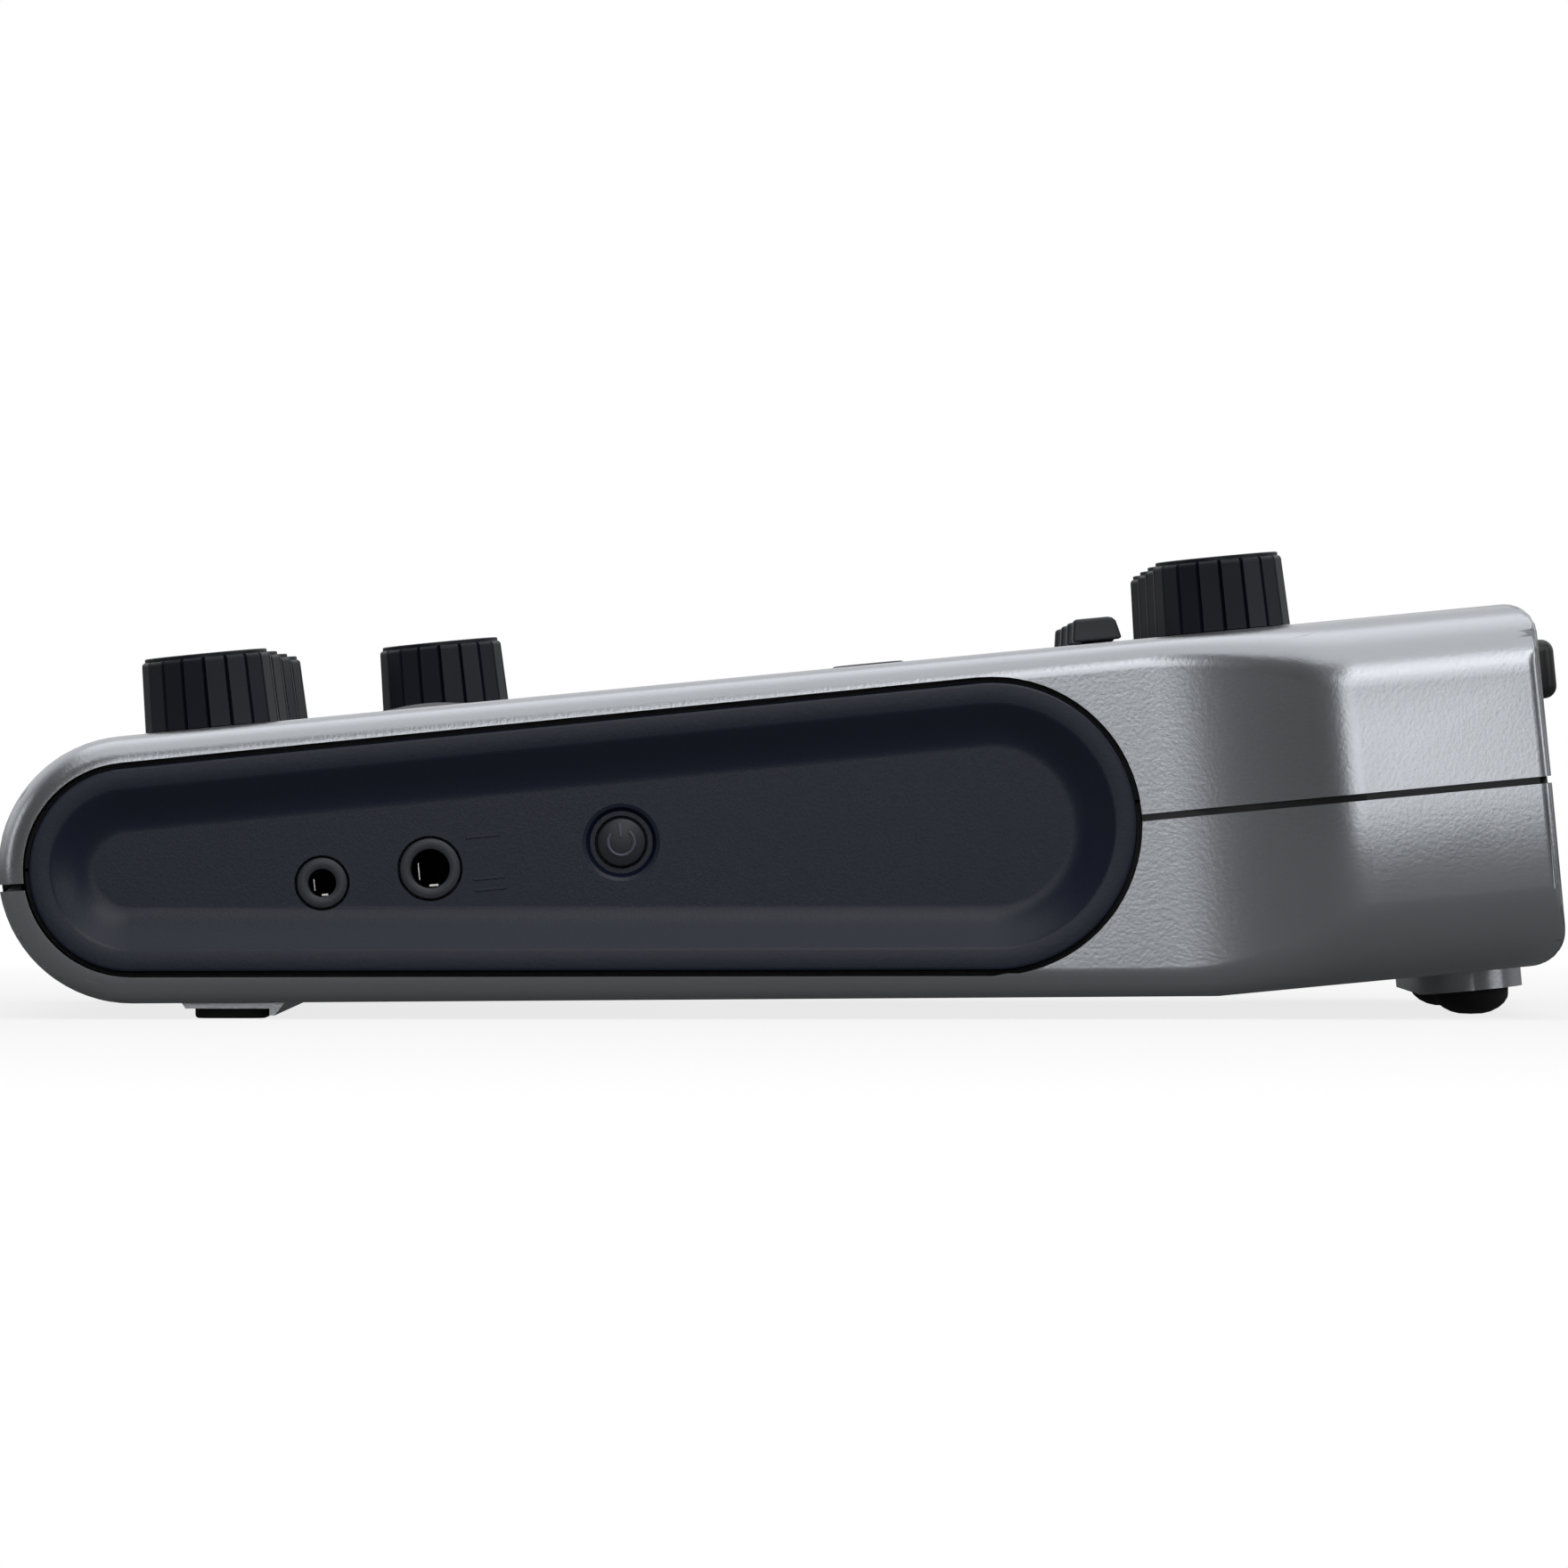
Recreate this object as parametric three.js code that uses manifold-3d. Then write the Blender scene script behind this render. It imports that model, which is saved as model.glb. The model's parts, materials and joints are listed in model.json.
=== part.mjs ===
// Four-channel podcast recorder. A moulded wedge of a housing rises towards the back and flares from its
// waist to a wider rear block. Fluted knobs, sound pads, sliders and keys stand on its sloping deck, four
// microphone sockets cross the rear, headphone sockets sit in the rounded nose, and a dished panel is let
// into each side. Lengths are in millimetres. X runs across, Y from nose to rear, Z up, feet on Z = 0.
//
// Most pieces are drawn in the deck's own frame, where y runs along the deck from above the centre of the
// nose, and z is square to the deck, with the deck itself at z = 0.

import * as THREE from 'three';
import { mergeVertices } from 'three/addons/utils/BufferGeometryUtils.js';
import Module from 'manifold-3d';

const wasm = await Module();
wasm.setup();

// Driving dimensions of the housing
const HOUSING_LENGTH = 154;
const WAIST_WIDTH = 103;
const REAR_WIDTH = 112;
const NOSE_RADIUS = 13.3;
const DECK_SLOPE = 5.45;
const UNDERSIDE_RISE = 0.39;
const UNDERSIDE_HEIGHT = 1.5;
const WALL = 2.2;
const CLEARANCE = 0.3;
const OVERRUN = 2;

// Driving places: the rows on the deck and in its sides, as shares of the housing's length from the nose tip,
// and the margins left beside the four phones knobs and the five places of the pad row
const rowShares = {
  phones: 0.1435, pads: 0.2825, keys: 0.4123, display: 0.5714, switches: 0.7208, gain: 0.8032,
};
const sideRowShares = { remote: 0.2078, line: 0.2779, power: 0.402, usb: 0.2162, card: 0.476 };
const screwRowShares = [0.3591, 0.6318];
const PHONES_MARGIN = 1.5;
const PAD_MARGIN = 4;
const CONTROL_BOARD_DEPTH = 9;

const FULL_TURN = 2 * Math.PI;
const RIGHT_ANGLE = Math.PI / 2;
const slope = THREE.MathUtils.degToRad(DECK_SLOPE);
const undersideAngle = THREE.MathUtils.degToRad(DECK_SLOPE - UNDERSIDE_RISE);
const rearFace = HOUSING_LENGTH - NOSE_RADIUS;
const noseTip = -NOSE_RADIUS;
const rowAt = (share) => noseTip + HOUSING_LENGTH * share;
const channels = [-1.5, -0.5, 0.5, 1.5];
const padSteps = [-2, -1, 0, 1, 2];
const phonesPitch = (WAIST_WIDTH - 2 * PHONES_MARGIN) / channels.length;
const padPitch = (WAIST_WIDTH - 2 * PAD_MARGIN) / padSteps.length;

// Finishes
const SILVER = { color: 0xb4b8bf, roughness: 0.42, metalness: 0.55 };
const PANEL = { color: 0x272c36, roughness: 0.6, metalness: 0 };
const KNOB = { color: 0x25272e, roughness: 0.5, metalness: 0 };
const BLACK_PLASTIC = { color: 0x17181b, roughness: 0.55, metalness: 0 };
const RUBBER = { color: 0x1d1d1f, roughness: 0.9, metalness: 0 };
const GLASS = { color: 0x0b0d11, roughness: 0.08, metalness: 0 };
const BOARD = { color: 0x1f5a3c, roughness: 0.6, metalness: 0 };
const STEEL = { color: 0xa9abad, roughness: 0.3, metalness: 1 };
const CELL = { color: 0x8d8f94, roughness: 0.35, metalness: 0.4 };
const RED_RUBBER = { color: 0xa8262c, roughness: 0.7, metalness: 0 };

// Leaves out the triangles that have lost a side
function realTriangles(corners) {
  const kept = [];
  for (let i = 0; i < corners.length; i += 3) {
    const [p, q, r] = corners.slice(i, i + 3);
    if (p !== q && q !== r && r !== p) kept.push(p, q, r);
  }
  return kept;
}

// Turns a closed geometry into a solid, with its shared corners merged and its faces pointing out
function solid(geometry) {
  const bare = new THREE.BufferGeometry();
  bare.setAttribute('position', geometry.getAttribute('position').clone());
  if (geometry.index) bare.setIndex(geometry.index.clone());
  const merged = mergeVertices(bare);
  const position = merged.getAttribute('position').array;
  const triangles = realTriangles(merged.index.array);
  const corner = (i) => new THREE.Vector3().fromArray(position, 3 * triangles[i]);
  let volume = 0;
  for (let i = 0; i < triangles.length; i += 3) volume += corner(i).dot(corner(i + 1).cross(corner(i + 2)));
  if (volume < 0) triangles.reverse();
  return new wasm.Manifold(new wasm.Mesh({
    numProp: 3,
    vertProperties: new Float32Array(position),
    triVerts: new Uint32Array(triangles),
  }));
}

const join = (first, ...others) => others.reduce((whole, other) => whole.add(other), first);
const cut = (first, ...tools) => tools.reduce((rest, tool) => rest.subtract(tool), first);

// Finds the triangle that has one side running from one corner to another, and where the side starts in it
function sideOf(corners, from, to) {
  for (let t = 0; t < corners.length; t += 3) {
    for (let k = 0; k < 3; k++) {
      if (corners[t + k] === from && corners[t + (k + 1) % 3] === to) return [t, k];
    }
  }
  throw new Error('The surface is open');
}

// Turns over the long side of each triangle that is too thin to have an area
function flipThin(corners, position, thinnest) {
  const point = (i) => new THREE.Vector3().fromArray(position, 3 * i);
  for (let t = 0; t < corners.length; t += 3) {
    const reach = ([from, to]) => point(from).distanceTo(point(to));
    const [a, b, c] = [0, 1, 2]
      .map((k) => [k, k + 1, k + 2].map((i) => corners[t + i % 3]))
      .sort((one, two) => reach(two) - reach(one))[0];
    const long = reach([a, b]);
    if (2 * new THREE.Triangle(point(a), point(b), point(c)).getArea() > thinnest * long) continue;
    const [u, k] = sideOf(corners, b, a);
    const d = corners[u + (k + 2) % 3];
    [corners[t], corners[t + 1], corners[t + 2]] = [a, d, c];
    [corners[u], corners[u + 1], corners[u + 2]] = [d, b, c];
  }
}

// Gives a solid's surface back as a geometry, without the hair-thin edges and triangles that cuts leave
const SHORTEST_EDGE = 0.002;
const THINNEST_TRIANGLE = 0.001;

function geometryOf(body) {
  const mesh = body.getMesh();
  const whole = new THREE.BufferGeometry();
  whole.setAttribute('position', new THREE.BufferAttribute(mesh.vertProperties, 3));
  whole.setIndex(new THREE.BufferAttribute(mesh.triVerts, 1));
  const geometry = mergeVertices(whole, SHORTEST_EDGE);
  const corners = realTriangles(geometry.index.array);
  flipThin(corners, geometry.getAttribute('position').array, THINNEST_TRIANGLE);
  geometry.setIndex(corners);
  geometry.computeVertexNormals();
  return geometry;
}

// Adds one named piece to a group, at a place in that group's frame
function place(group, name, body, finish, x = 0, y = 0, z = 0) {
  const mesh = new THREE.Mesh(geometryOf(body), new THREE.MeshStandardMaterial(finish));
  mesh.name = name;
  mesh.position.set(x, y, z);
  group.add(mesh);
}

// Basic forms. A frame, where given, carries the form from the frame it is measured in to another
function block([x0, x1], [y0, y1], [z0, z1], frame = new THREE.Matrix4()) {
  const geometry = new THREE.BoxGeometry(x1 - x0, y1 - y0, z1 - z0);
  geometry.translate((x0 + x1) / 2, (y0 + y1) / 2, (z0 + z1) / 2);
  return solid(geometry.applyMatrix4(frame));
}

const ROUND_SIDES = 16;
const PAD_SIDES = 16;
const KEY_SIDES = 10;
const SMALL_SIDES = 8;
const HIDDEN_SIDES = 6;

function rod(axis, radius, from, to, [across, up], sides = ROUND_SIDES, endRadius = radius, frame) {
  const geometry = new THREE.CylinderGeometry(endRadius, radius, to - from, sides);
  geometry.translate(0, (from + to) / 2, 0);
  if (axis === 'x') geometry.rotateZ(-RIGHT_ANGLE).translate(0, across, up);
  if (axis === 'y') geometry.translate(across, 0, up);
  if (axis === 'z') geometry.rotateX(RIGHT_ANGLE).translate(across, up, 0);
  return solid(frame ? geometry.applyMatrix4(frame) : geometry);
}

const depthAlongX = new THREE.Matrix4().makeBasis(
  new THREE.Vector3(0, 1, 0), new THREE.Vector3(0, 0, 1), new THREE.Vector3(1, 0, 0));

// An outline in the two other axes, drawn out along one axis
function prism(axis, outline, from, to, frame = new THREE.Matrix4()) {
  const shape = new THREE.Shape(outline.map(([a, b]) => new THREE.Vector2(a, b)));
  const geometry = new THREE.ExtrudeGeometry(shape, { depth: to - from, bevelEnabled: false });
  if (axis === 'x') geometry.applyMatrix4(depthAlongX).translate(from, 0, 0);
  if (axis === 'y') geometry.rotateX(RIGHT_ANGLE).translate(0, to, 0);
  if (axis === 'z') geometry.translate(0, 0, from);
  return solid(geometry.applyMatrix4(frame));
}

function arc([centreX, centreY], radius, start, end, steps) {
  return Array.from({ length: steps + 1 }, (_, i) => {
    const angle = start + (end - start) * i / steps;
    return [centreX + radius * Math.cos(angle), centreY + radius * Math.sin(angle)];
  });
}

const CORNER_STEPS = 3;
const SMALL_CORNER_STEPS = 2;

function roundedOutline([x0, x1], [y0, y1], radius, steps = CORNER_STEPS) {
  return [
    ...arc([x1 - radius, y1 - radius], radius, 0, RIGHT_ANGLE, steps),
    ...arc([x0 + radius, y1 - radius], radius, RIGHT_ANGLE, Math.PI, steps),
    ...arc([x0 + radius, y0 + radius], radius, Math.PI, Math.PI + RIGHT_ANGLE, steps),
    ...arc([x1 - radius, y0 + radius], radius, Math.PI + RIGHT_ANGLE, FULL_TURN, steps),
  ];
}

// A revolved profile of [radius, height] points, standing along z
function turned(profile, sides = ROUND_SIDES) {
  const points = profile.map(([radius, height]) => new THREE.Vector2(radius, height));
  return solid(new THREE.LatheGeometry(points, sides).rotateX(RIGHT_ANGLE));
}

const halfSpan = (width) => [-width / 2, width / 2];
const around = (centre, width) => [centre - width / 2, centre + width / 2];

// Outline of the housing in the deck's frame: a round nose, a straight underside that falls away from the
// deck towards the back, and a rear block whose underside runs parallel to the deck
const UNDERSIDE_BEND_FROM_REAR = 34.6;
const undersideBend = rearFace - UNDERSIDE_BEND_FROM_REAR;
const rearDepth = NOSE_RADIUS * (1 + 1 / Math.cos(undersideAngle)) + undersideBend * Math.tan(undersideAngle);
const undersideAt = (y) => -rearDepth + Math.max(undersideBend - y, 0) * Math.tan(undersideAngle);

// The flare from the waist to the rear block: a long hollow curve that ends in a tight turn
const FLARE_END_FROM_REAR = 18.4;
const FLARE_LENGTH = 20.5;
const flareTurnShare = 0.76;
const flareEnd = rearFace - FLARE_END_FROM_REAR;
const flareStart = flareEnd - FLARE_LENGTH;

function flareAt(y) {
  const along = THREE.MathUtils.clamp((y - flareStart) / FLARE_LENGTH, 0, 1);
  if (along < flareTurnShare) return along ** 2 / flareTurnShare;
  return 1 - (1 - along) ** 2 / (1 - flareTurnShare);
}

const halfWidthAt = (y) => THREE.MathUtils.lerp(WAIST_WIDTH, REAR_WIDTH, flareAt(y)) / 2;

// Radii of the long edges between the sides and the deck or underside
const FRONT_EDGE = 3;
const REAR_TOP_EDGE = 7;
const REAR_BOTTOM_EDGE = 8;
const SMALLEST_EDGE = 0.4;
const topEdgeAt = (y) => THREE.MathUtils.lerp(FRONT_EDGE, REAR_TOP_EDGE, flareAt(y));
const bottomEdgeAt = (y) => THREE.MathUtils.lerp(FRONT_EDGE, REAR_BOTTOM_EDGE, flareAt(y));

// How finely a form is drawn: steps round the nose, rows up its side, rings round an edge, flare steps
const fineSteps = { nose: 4, rows: 5, rings: 3, flare: 6 };
const coarseSteps = { nose: 3, rows: 3, rings: 1, flare: 2 };
const NOSE_ROWS_ANGLE = 36;
const noseRowsAngle = THREE.MathUtils.degToRad(NOSE_ROWS_ANGLE);
const flatStationShares = [0.5];

function nosePoint(angle) {
  const [across, up] = [-Math.cos(angle), Math.sin(angle)];
  return { y: NOSE_RADIUS * across, z: NOSE_RADIUS * (up - 1), ny: across, nz: up, edge: FRONT_EDGE };
}

// Matching points of the deck and the underside, from the nose to past the rear face
function housingColumns(steps) {
  const columns = [];
  for (let i = 0; i <= steps.nose; i++) {
    const share = i / steps.nose;
    columns.push({
      top: nosePoint(THREE.MathUtils.lerp(noseRowsAngle, RIGHT_ANGLE, share)),
      bottom: nosePoint(-THREE.MathUtils.lerp(noseRowsAngle, RIGHT_ANGLE - undersideAngle, share)),
    });
  }
  const stations = [
    ...flatStationShares.map((share) => share * flareStart),
    ...Array.from({ length: steps.flare + 1 }, (_, i) => flareStart + FLARE_LENGTH * i / steps.flare),
    rearFace + OVERRUN,
  ];
  for (const y of stations) {
    const lean = y < undersideBend ? undersideAngle : 0;
    columns.push({
      top: { y, z: 0, ny: 0, nz: 1, edge: topEdgeAt(y) },
      bottom: { y, z: undersideAt(y), ny: -Math.sin(lean), nz: -Math.cos(lean), edge: bottomEdgeAt(y) },
    });
  }
  return columns;
}

// The pillow form of the housing, drawn in from its outline by an inset, and from its sides by another.
// Rings of points run from each flat side round the edge radius to the deck, nose and underside
function pillow(inset, sideInset, steps) {
  const columns = housingColumns(steps);
  const lastColumn = columns.length - 1;

  function edgePoint(point, ring) {
    const radius = Math.max(point.edge - inset, SMALLEST_EDGE);
    const angle = RIGHT_ANGLE * ring / steps.rings;
    const drop = inset + radius * (1 - Math.cos(angle));
    const y = point.y - point.ny * drop;
    return new THREE.Vector3(
      halfWidthAt(y) - sideInset - radius * (1 - Math.sin(angle)), y, point.z - point.nz * drop);
  }

  function surfacePoint(ring, column, row) {
    const share = row / steps.rows;
    if (row === 0) return edgePoint(columns[column].bottom, ring);
    if (row === steps.rows) return edgePoint(columns[column].top, ring);
    if (column === 0) return edgePoint(nosePoint(noseRowsAngle * (2 * share - 1)), ring);
    return edgePoint(columns[column].bottom, ring).lerp(edgePoint(columns[column].top, ring), share);
  }

  const rim = [];
  for (let i = 0; i <= lastColumn; i++) rim.push([i, 0]);
  for (let j = 1; j < steps.rows; j++) rim.push([lastColumn, j]);
  for (let i = lastColumn; i >= 0; i--) rim.push([i, steps.rows]);
  for (let j = steps.rows - 1; j > 0; j--) rim.push([0, j]);

  const side = (point, sign) => point.clone().setX(sign * point.x);
  const rings = [];
  for (let ring = steps.rings; ring >= 0; ring--) rings.push([ring, 1]);
  for (let ring = 0; ring <= steps.rings; ring++) rings.push([ring, -1]);
  const loops = rings.map(([ring, sign]) => rim.map(([i, j]) => side(surfacePoint(ring, i, j), sign)));

  const points = [];
  const quad = (a, b, c, d) => points.push(a, b, c, a, c, d);
  for (let m = 0; m + 1 < loops.length; m++) {
    for (let k = 0; k < rim.length; k++) {
      const next = (k + 1) % rim.length;
      quad(loops[m][k], loops[m + 1][k], loops[m + 1][next], loops[m][next]);
    }
  }
  for (let i = 0; i < lastColumn; i++) {
    for (let j = 0; j < steps.rows; j++) {
      const corners = [[i, j], [i + 1, j], [i + 1, j + 1], [i, j + 1]]
        .map(([column, row]) => surfacePoint(steps.rings, column, row));
      quad(...corners.map((point) => side(point, 1)));
      quad(...corners.reverse().map((point) => side(point, -1)));
    }
  }
  return solid(new THREE.BufferGeometry().setFromPoints(points));
}

// The rear of the housing: rounded where the rear face meets the deck, the underside and the sides
const REAR_TOP_CORNER = 3;
const REAR_BOTTOM_CORNER = 3.4;
const REAR_SIDE_CORNER = 1.2;

function housingForm(inset, sideInset, steps, rear = rearFace) {
  const end = rear - inset;
  const corner = (radius) => Math.max(radius - inset, SMALLEST_EDGE);
  const [top, bottom, sides] = [REAR_TOP_CORNER, REAR_BOTTOM_CORNER, REAR_SIDE_CORNER].map(corner);
  const front = noseTip - OVERRUN;
  const half = REAR_WIDTH / 2 - sideInset;
  const clear = Math.max(WAIST_WIDTH, REAR_WIDTH) / 2 + OVERRUN;
  const profile = [
    [front, -rearDepth - OVERRUN],
    [end - bottom - OVERRUN, -rearDepth - OVERRUN],
    ...arc([end - bottom, inset - rearDepth + bottom], bottom, -RIGHT_ANGLE, 0, CORNER_STEPS),
    ...arc([end - top, -inset - top], top, 0, RIGHT_ANGLE, CORNER_STEPS),
    [end - top - OVERRUN, OVERRUN],
    [front, OVERRUN],
  ];
  const plan = [
    [clear, front],
    [clear, end - sides - OVERRUN],
    ...arc([half - sides, end - sides], sides, 0, RIGHT_ANGLE, CORNER_STEPS),
    ...arc([sides - half, end - sides], sides, RIGHT_ANGLE, Math.PI, CORNER_STEPS),
    [-clear, end - sides - OVERRUN],
    [-clear, front],
  ];
  return pillow(inset, sideInset, steps)
    .intersect(prism('x', profile, -clear, clear))
    .intersect(prism('z', plan, -rearDepth - OVERRUN, OVERRUN));
}

// Where the deck's frame stands: the underside of the nose clears the table, and the nose tip and the
// rearmost edge lie as far from the origin
const LATCH_PROUD = 2.4;
const LATCH_HEIGHT = 5.9;
const LATCH_DEPTH = 6.75;
const REAR_STEP = 0.25;
const noseReach = NOSE_RADIUS * (1 - Math.sin(slope));
const bodyReach = rearFace * Math.cos(slope) + (rearDepth - REAR_BOTTOM_CORNER) * Math.sin(slope);
const latchReach = (rearFace - REAR_STEP + LATCH_PROUD) * Math.cos(slope)
  + (LATCH_DEPTH + LATCH_HEIGHT / 2) * Math.sin(slope);
const rearReach = Math.max(bodyReach, latchReach);
const deckOriginY = (noseReach - rearReach) / 2;
const deckOriginZ = UNDERSIDE_HEIGHT + NOSE_RADIUS * (1 + Math.cos(slope));

const recorder = new THREE.Group();
const deck = new THREE.Group();
deck.position.set(0, deckOriginY, deckOriginZ);
deck.rotation.x = slope;
recorder.add(deck);
deck.updateMatrixWorld(true);
const toWorld = deck.matrixWorld.clone();
const toDeck = toWorld.clone().invert();
const worldPoint = (x, y, z) => new THREE.Vector3(x, y, z).applyMatrix4(toWorld);

// A body lofted through rings of matching points, closed by a fan at each end
function loft(rings) {
  const points = [];
  for (let m = 0; m + 1 < rings.length; m++) {
    rings[m].forEach((corner, k) => {
      const next = (k + 1) % rings[m].length;
      points.push(corner, rings[m][next], rings[m + 1][next]);
      points.push(corner, rings[m + 1][next], rings[m + 1][k]);
    });
  }
  const close = (ring, forwards) => {
    const centre = ring.reduce((sum, point) => sum.add(point), new THREE.Vector3()).divideScalar(ring.length);
    ring.forEach((corner, k) => {
      const next = ring[(k + 1) % ring.length];
      points.push(centre, ...(forwards ? [corner, next] : [next, corner]));
    });
  };
  close(rings[0], false);
  close(rings[rings.length - 1], true);
  return solid(new THREE.BufferGeometry().setFromPoints(points));
}

// Parting line of the two cases, with a tongue of the lower case standing behind the upper case's lip
const PARTING_DEPTH = 17.7;
const PARTING_BEND_FROM_REAR = 41;
const PARTING_NOSE_DROP = 0.6;
const PARTING_GAP = 0.7;
const SEAM_LIP = 0.9;
const TONGUE_HEIGHT = 1.5;
const partingBend = rearFace - PARTING_BEND_FROM_REAR;
const partingNoseDepth = NOSE_RADIUS + PARTING_NOSE_DROP;
const partingFall = (PARTING_DEPTH - partingNoseDepth) / (partingBend - noseTip);
const partingAt = (y) => -PARTING_DEPTH + Math.max(partingBend - y, 0) * partingFall;

function partingPrism(offset, limit) {
  const [front, rear] = [noseTip - OVERRUN, rearFace + OVERRUN];
  return prism('x', [
    [front, partingAt(front) + offset],
    [partingBend, offset - PARTING_DEPTH],
    [rear, offset - PARTING_DEPTH],
    [rear, limit],
    [front, limit],
  ], -REAR_WIDTH, REAR_WIDTH);
}
const aboveParting = (offset) => partingPrism(offset, OVERRUN);
const belowParting = (offset) => partingPrism(offset, -rearDepth - OVERRUN);

// Side panels: a dished plate between two round ends, let into a pocket in each side of the waist
const POCKET_DEPTH = 3.6;
const POCKET_FLOOR = 1.8;
const PANEL_FRONT_BAND = 3.05;
const PANEL_REAR_BAND = 2.7;
const PANEL_END_FROM_REAR = 55.3;
const PANEL_GAP = 0.4;
const PANEL_LIP = 2;
const PANEL_LIP_EDGE = 0.35;
const DISH_WIDTH = 4.5;
const DISH_DEPTH = 1.8;
const DISH_STEPS = 4;
const PANEL_END_STEPS = 9;
const panelEndY = rearFace - PANEL_END_FROM_REAR;
const panelEndHeight = -undersideAt(panelEndY);
const panelEnds = [
  { y: 0, z: -NOSE_RADIUS, radius: NOSE_RADIUS - PANEL_FRONT_BAND },
  { y: panelEndY, z: -panelEndHeight / 2, radius: panelEndHeight / 2 - PANEL_REAR_BAND },
];

function panelOutline(offset) {
  const [front, rear] = panelEnds;
  const lean = Math.atan2(rear.z - front.z, rear.y - front.y);
  const reach = Math.hypot(rear.y - front.y, rear.z - front.z);
  const open = Math.acos((front.radius - rear.radius) / reach);
  return [
    ...arc([rear.y, rear.z], rear.radius + offset, lean - open, lean + open, PANEL_END_STEPS),
    ...arc([front.y, front.z], front.radius + offset, lean + open, lean + FULL_TURN - open, PANEL_END_STEPS),
  ];
}

const panelFace = WAIST_WIDTH / 2;
const pocketFloorX = panelFace - POCKET_DEPTH;
const cavityX = pocketFloorX - POCKET_FLOOR;
const rearCavityX = REAR_WIDTH / 2 - (panelFace - cavityX);

// Pitch of the four channels: each gap between two microphone sockets has this share of the room that the
// sockets leave across the rear, as far as the outer potentiometers still stand inside the waist
const SOCKET_RADIUS = 10.1;
const POT_WIDTH = 9.8;
const socketGapShare = 0.2843;
const channelPitch = Math.min(
  2 * SOCKET_RADIUS + socketGapShare * 2 * (rearCavityX - channels.length * SOCKET_RADIUS),
  (cavityX - CLEARANCE - POT_WIDTH / 2) / channels[3],
);
const dishFloorX = panelFace - DISH_DEPTH;

function panelBody(side) {
  const ring = (offset, x) => panelOutline(offset).map(([y, z]) => new THREE.Vector3(side * x, y, z));
  const dish = Array.from({ length: DISH_STEPS + 1 }, (_, i) => {
    const share = i / DISH_STEPS;
    return ring(-PANEL_LIP - DISH_WIDTH * share, panelFace - DISH_DEPTH * (1 - (1 - share) ** 2));
  });
  return loft([
    ring(0, pocketFloorX + CLEARANCE),
    ring(0, panelFace - PANEL_LIP_EDGE),
    ring(-PANEL_LIP_EDGE, panelFace),
    ...dish,
  ]);
}

// What comes through the side panels: two sockets and the power button on the right, two ports on the left
const sidePlaces = {
  remote_jack: { y: rowAt(sideRowShares.remote), z: -16.4, collar: 2.5, bore: 1.375 },
  line_jack: { y: rowAt(sideRowShares.line), z: -16, collar: 3, bore: 1.925 },
};
const powerPlace = { y: rowAt(sideRowShares.power), z: -15.2 };
const portPlaces = {
  usb: { y: rowAt(sideRowShares.usb), z: -16.3 },
  card: { y: rowAt(sideRowShares.card), z: -16.5 },
};
const POWER_CAP_RADIUS = 2.4;
const POWER_WELL_RADIUS = 3.35;
const POWER_WELL_DEPTH = 0.8;
const POWER_TRAVEL = 0.5;
const PORT_EDGE = 1.6;
const portSizes = { usb: { width: 9, height: 3.3 }, card: { width: 14.4, height: 2.6 } };
const levelPoint = ({ y, z }) => worldPoint(0, y, z);

function sideHoles(reach) {
  const inner = cavityX - OVERRUN;
  const outer = reach + OVERRUN;
  const round = Object.values(sidePlaces)
    .map(({ y, z, collar }) => rod('x', collar + CLEARANCE, inner, outer, [y, z], KEY_SIDES));
  const power = rod('x', POWER_CAP_RADIUS + CLEARANCE, inner, outer, [powerPlace.y, powerPlace.z]);
  const ports = Object.entries(portPlaces).map(([name, portPlace]) => {
    const centre = levelPoint(portPlace);
    const { width, height } = portSizes[name];
    return block([-outer, -inner], around(centre.y, width + 2 * CLEARANCE),
      around(centre.z, height + 2 * CLEARANCE), toDeck);
  });
  return [...round, power, ...ports];
}

// Deck pieces: places of the knobs, sliders, pads and keys in the deck's frame
const SHAFT_RADIUS = 3;
const SHAFT_HOLE_GAP = 0.5;
const phonesRow = rowAt(rowShares.phones);
const padRow = rowAt(rowShares.pads);
const keyRow = rowAt(rowShares.keys);
const displayRow = rowAt(rowShares.display);
const switchRow = rowAt(rowShares.switches);
const gainRow = rowAt(rowShares.gain);
const knobPlaces = {
  gain_knob_1: [channels[0] * channelPitch, gainRow],
  gain_knob_2: [channels[1] * channelPitch, gainRow],
  gain_knob_3: [channels[2] * channelPitch, gainRow],
  gain_knob_4: [channels[3] * channelPitch, gainRow],
  phones_knob_1: [channels[0] * phonesPitch, phonesRow],
  phones_knob_2: [channels[1] * phonesPitch, phonesRow],
  phones_knob_3: [channels[2] * phonesPitch, phonesRow],
  phones_knob_4: [channels[3] * phonesPitch, phonesRow],
  level_knob: [padSteps[0] * padPitch, padRow],
};
const padPlaces = padSteps.slice(1).map((step) => [step * padPitch, padRow]);
const KEY_RADIUS = 3.6;
const RECORD_RADIUS = 4.6;
const KEY_PITCH = 20;
const MENU_PITCH = 14;
const MENU_START = 12;
const keyPlaces = {
  stop_button: { place: [-KEY_PITCH, keyRow], radius: KEY_RADIUS },
  play_button: { place: [0, keyRow], radius: KEY_RADIUS },
  record_button: { place: [KEY_PITCH, keyRow], radius: RECORD_RADIUS },
  menu_key_1: { place: [MENU_START, displayRow], radius: KEY_RADIUS },
  menu_key_2: { place: [MENU_START + MENU_PITCH, displayRow], radius: KEY_RADIUS },
  menu_key_3: { place: [MENU_START + 2 * MENU_PITCH, displayRow], radius: KEY_RADIUS },
};

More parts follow.
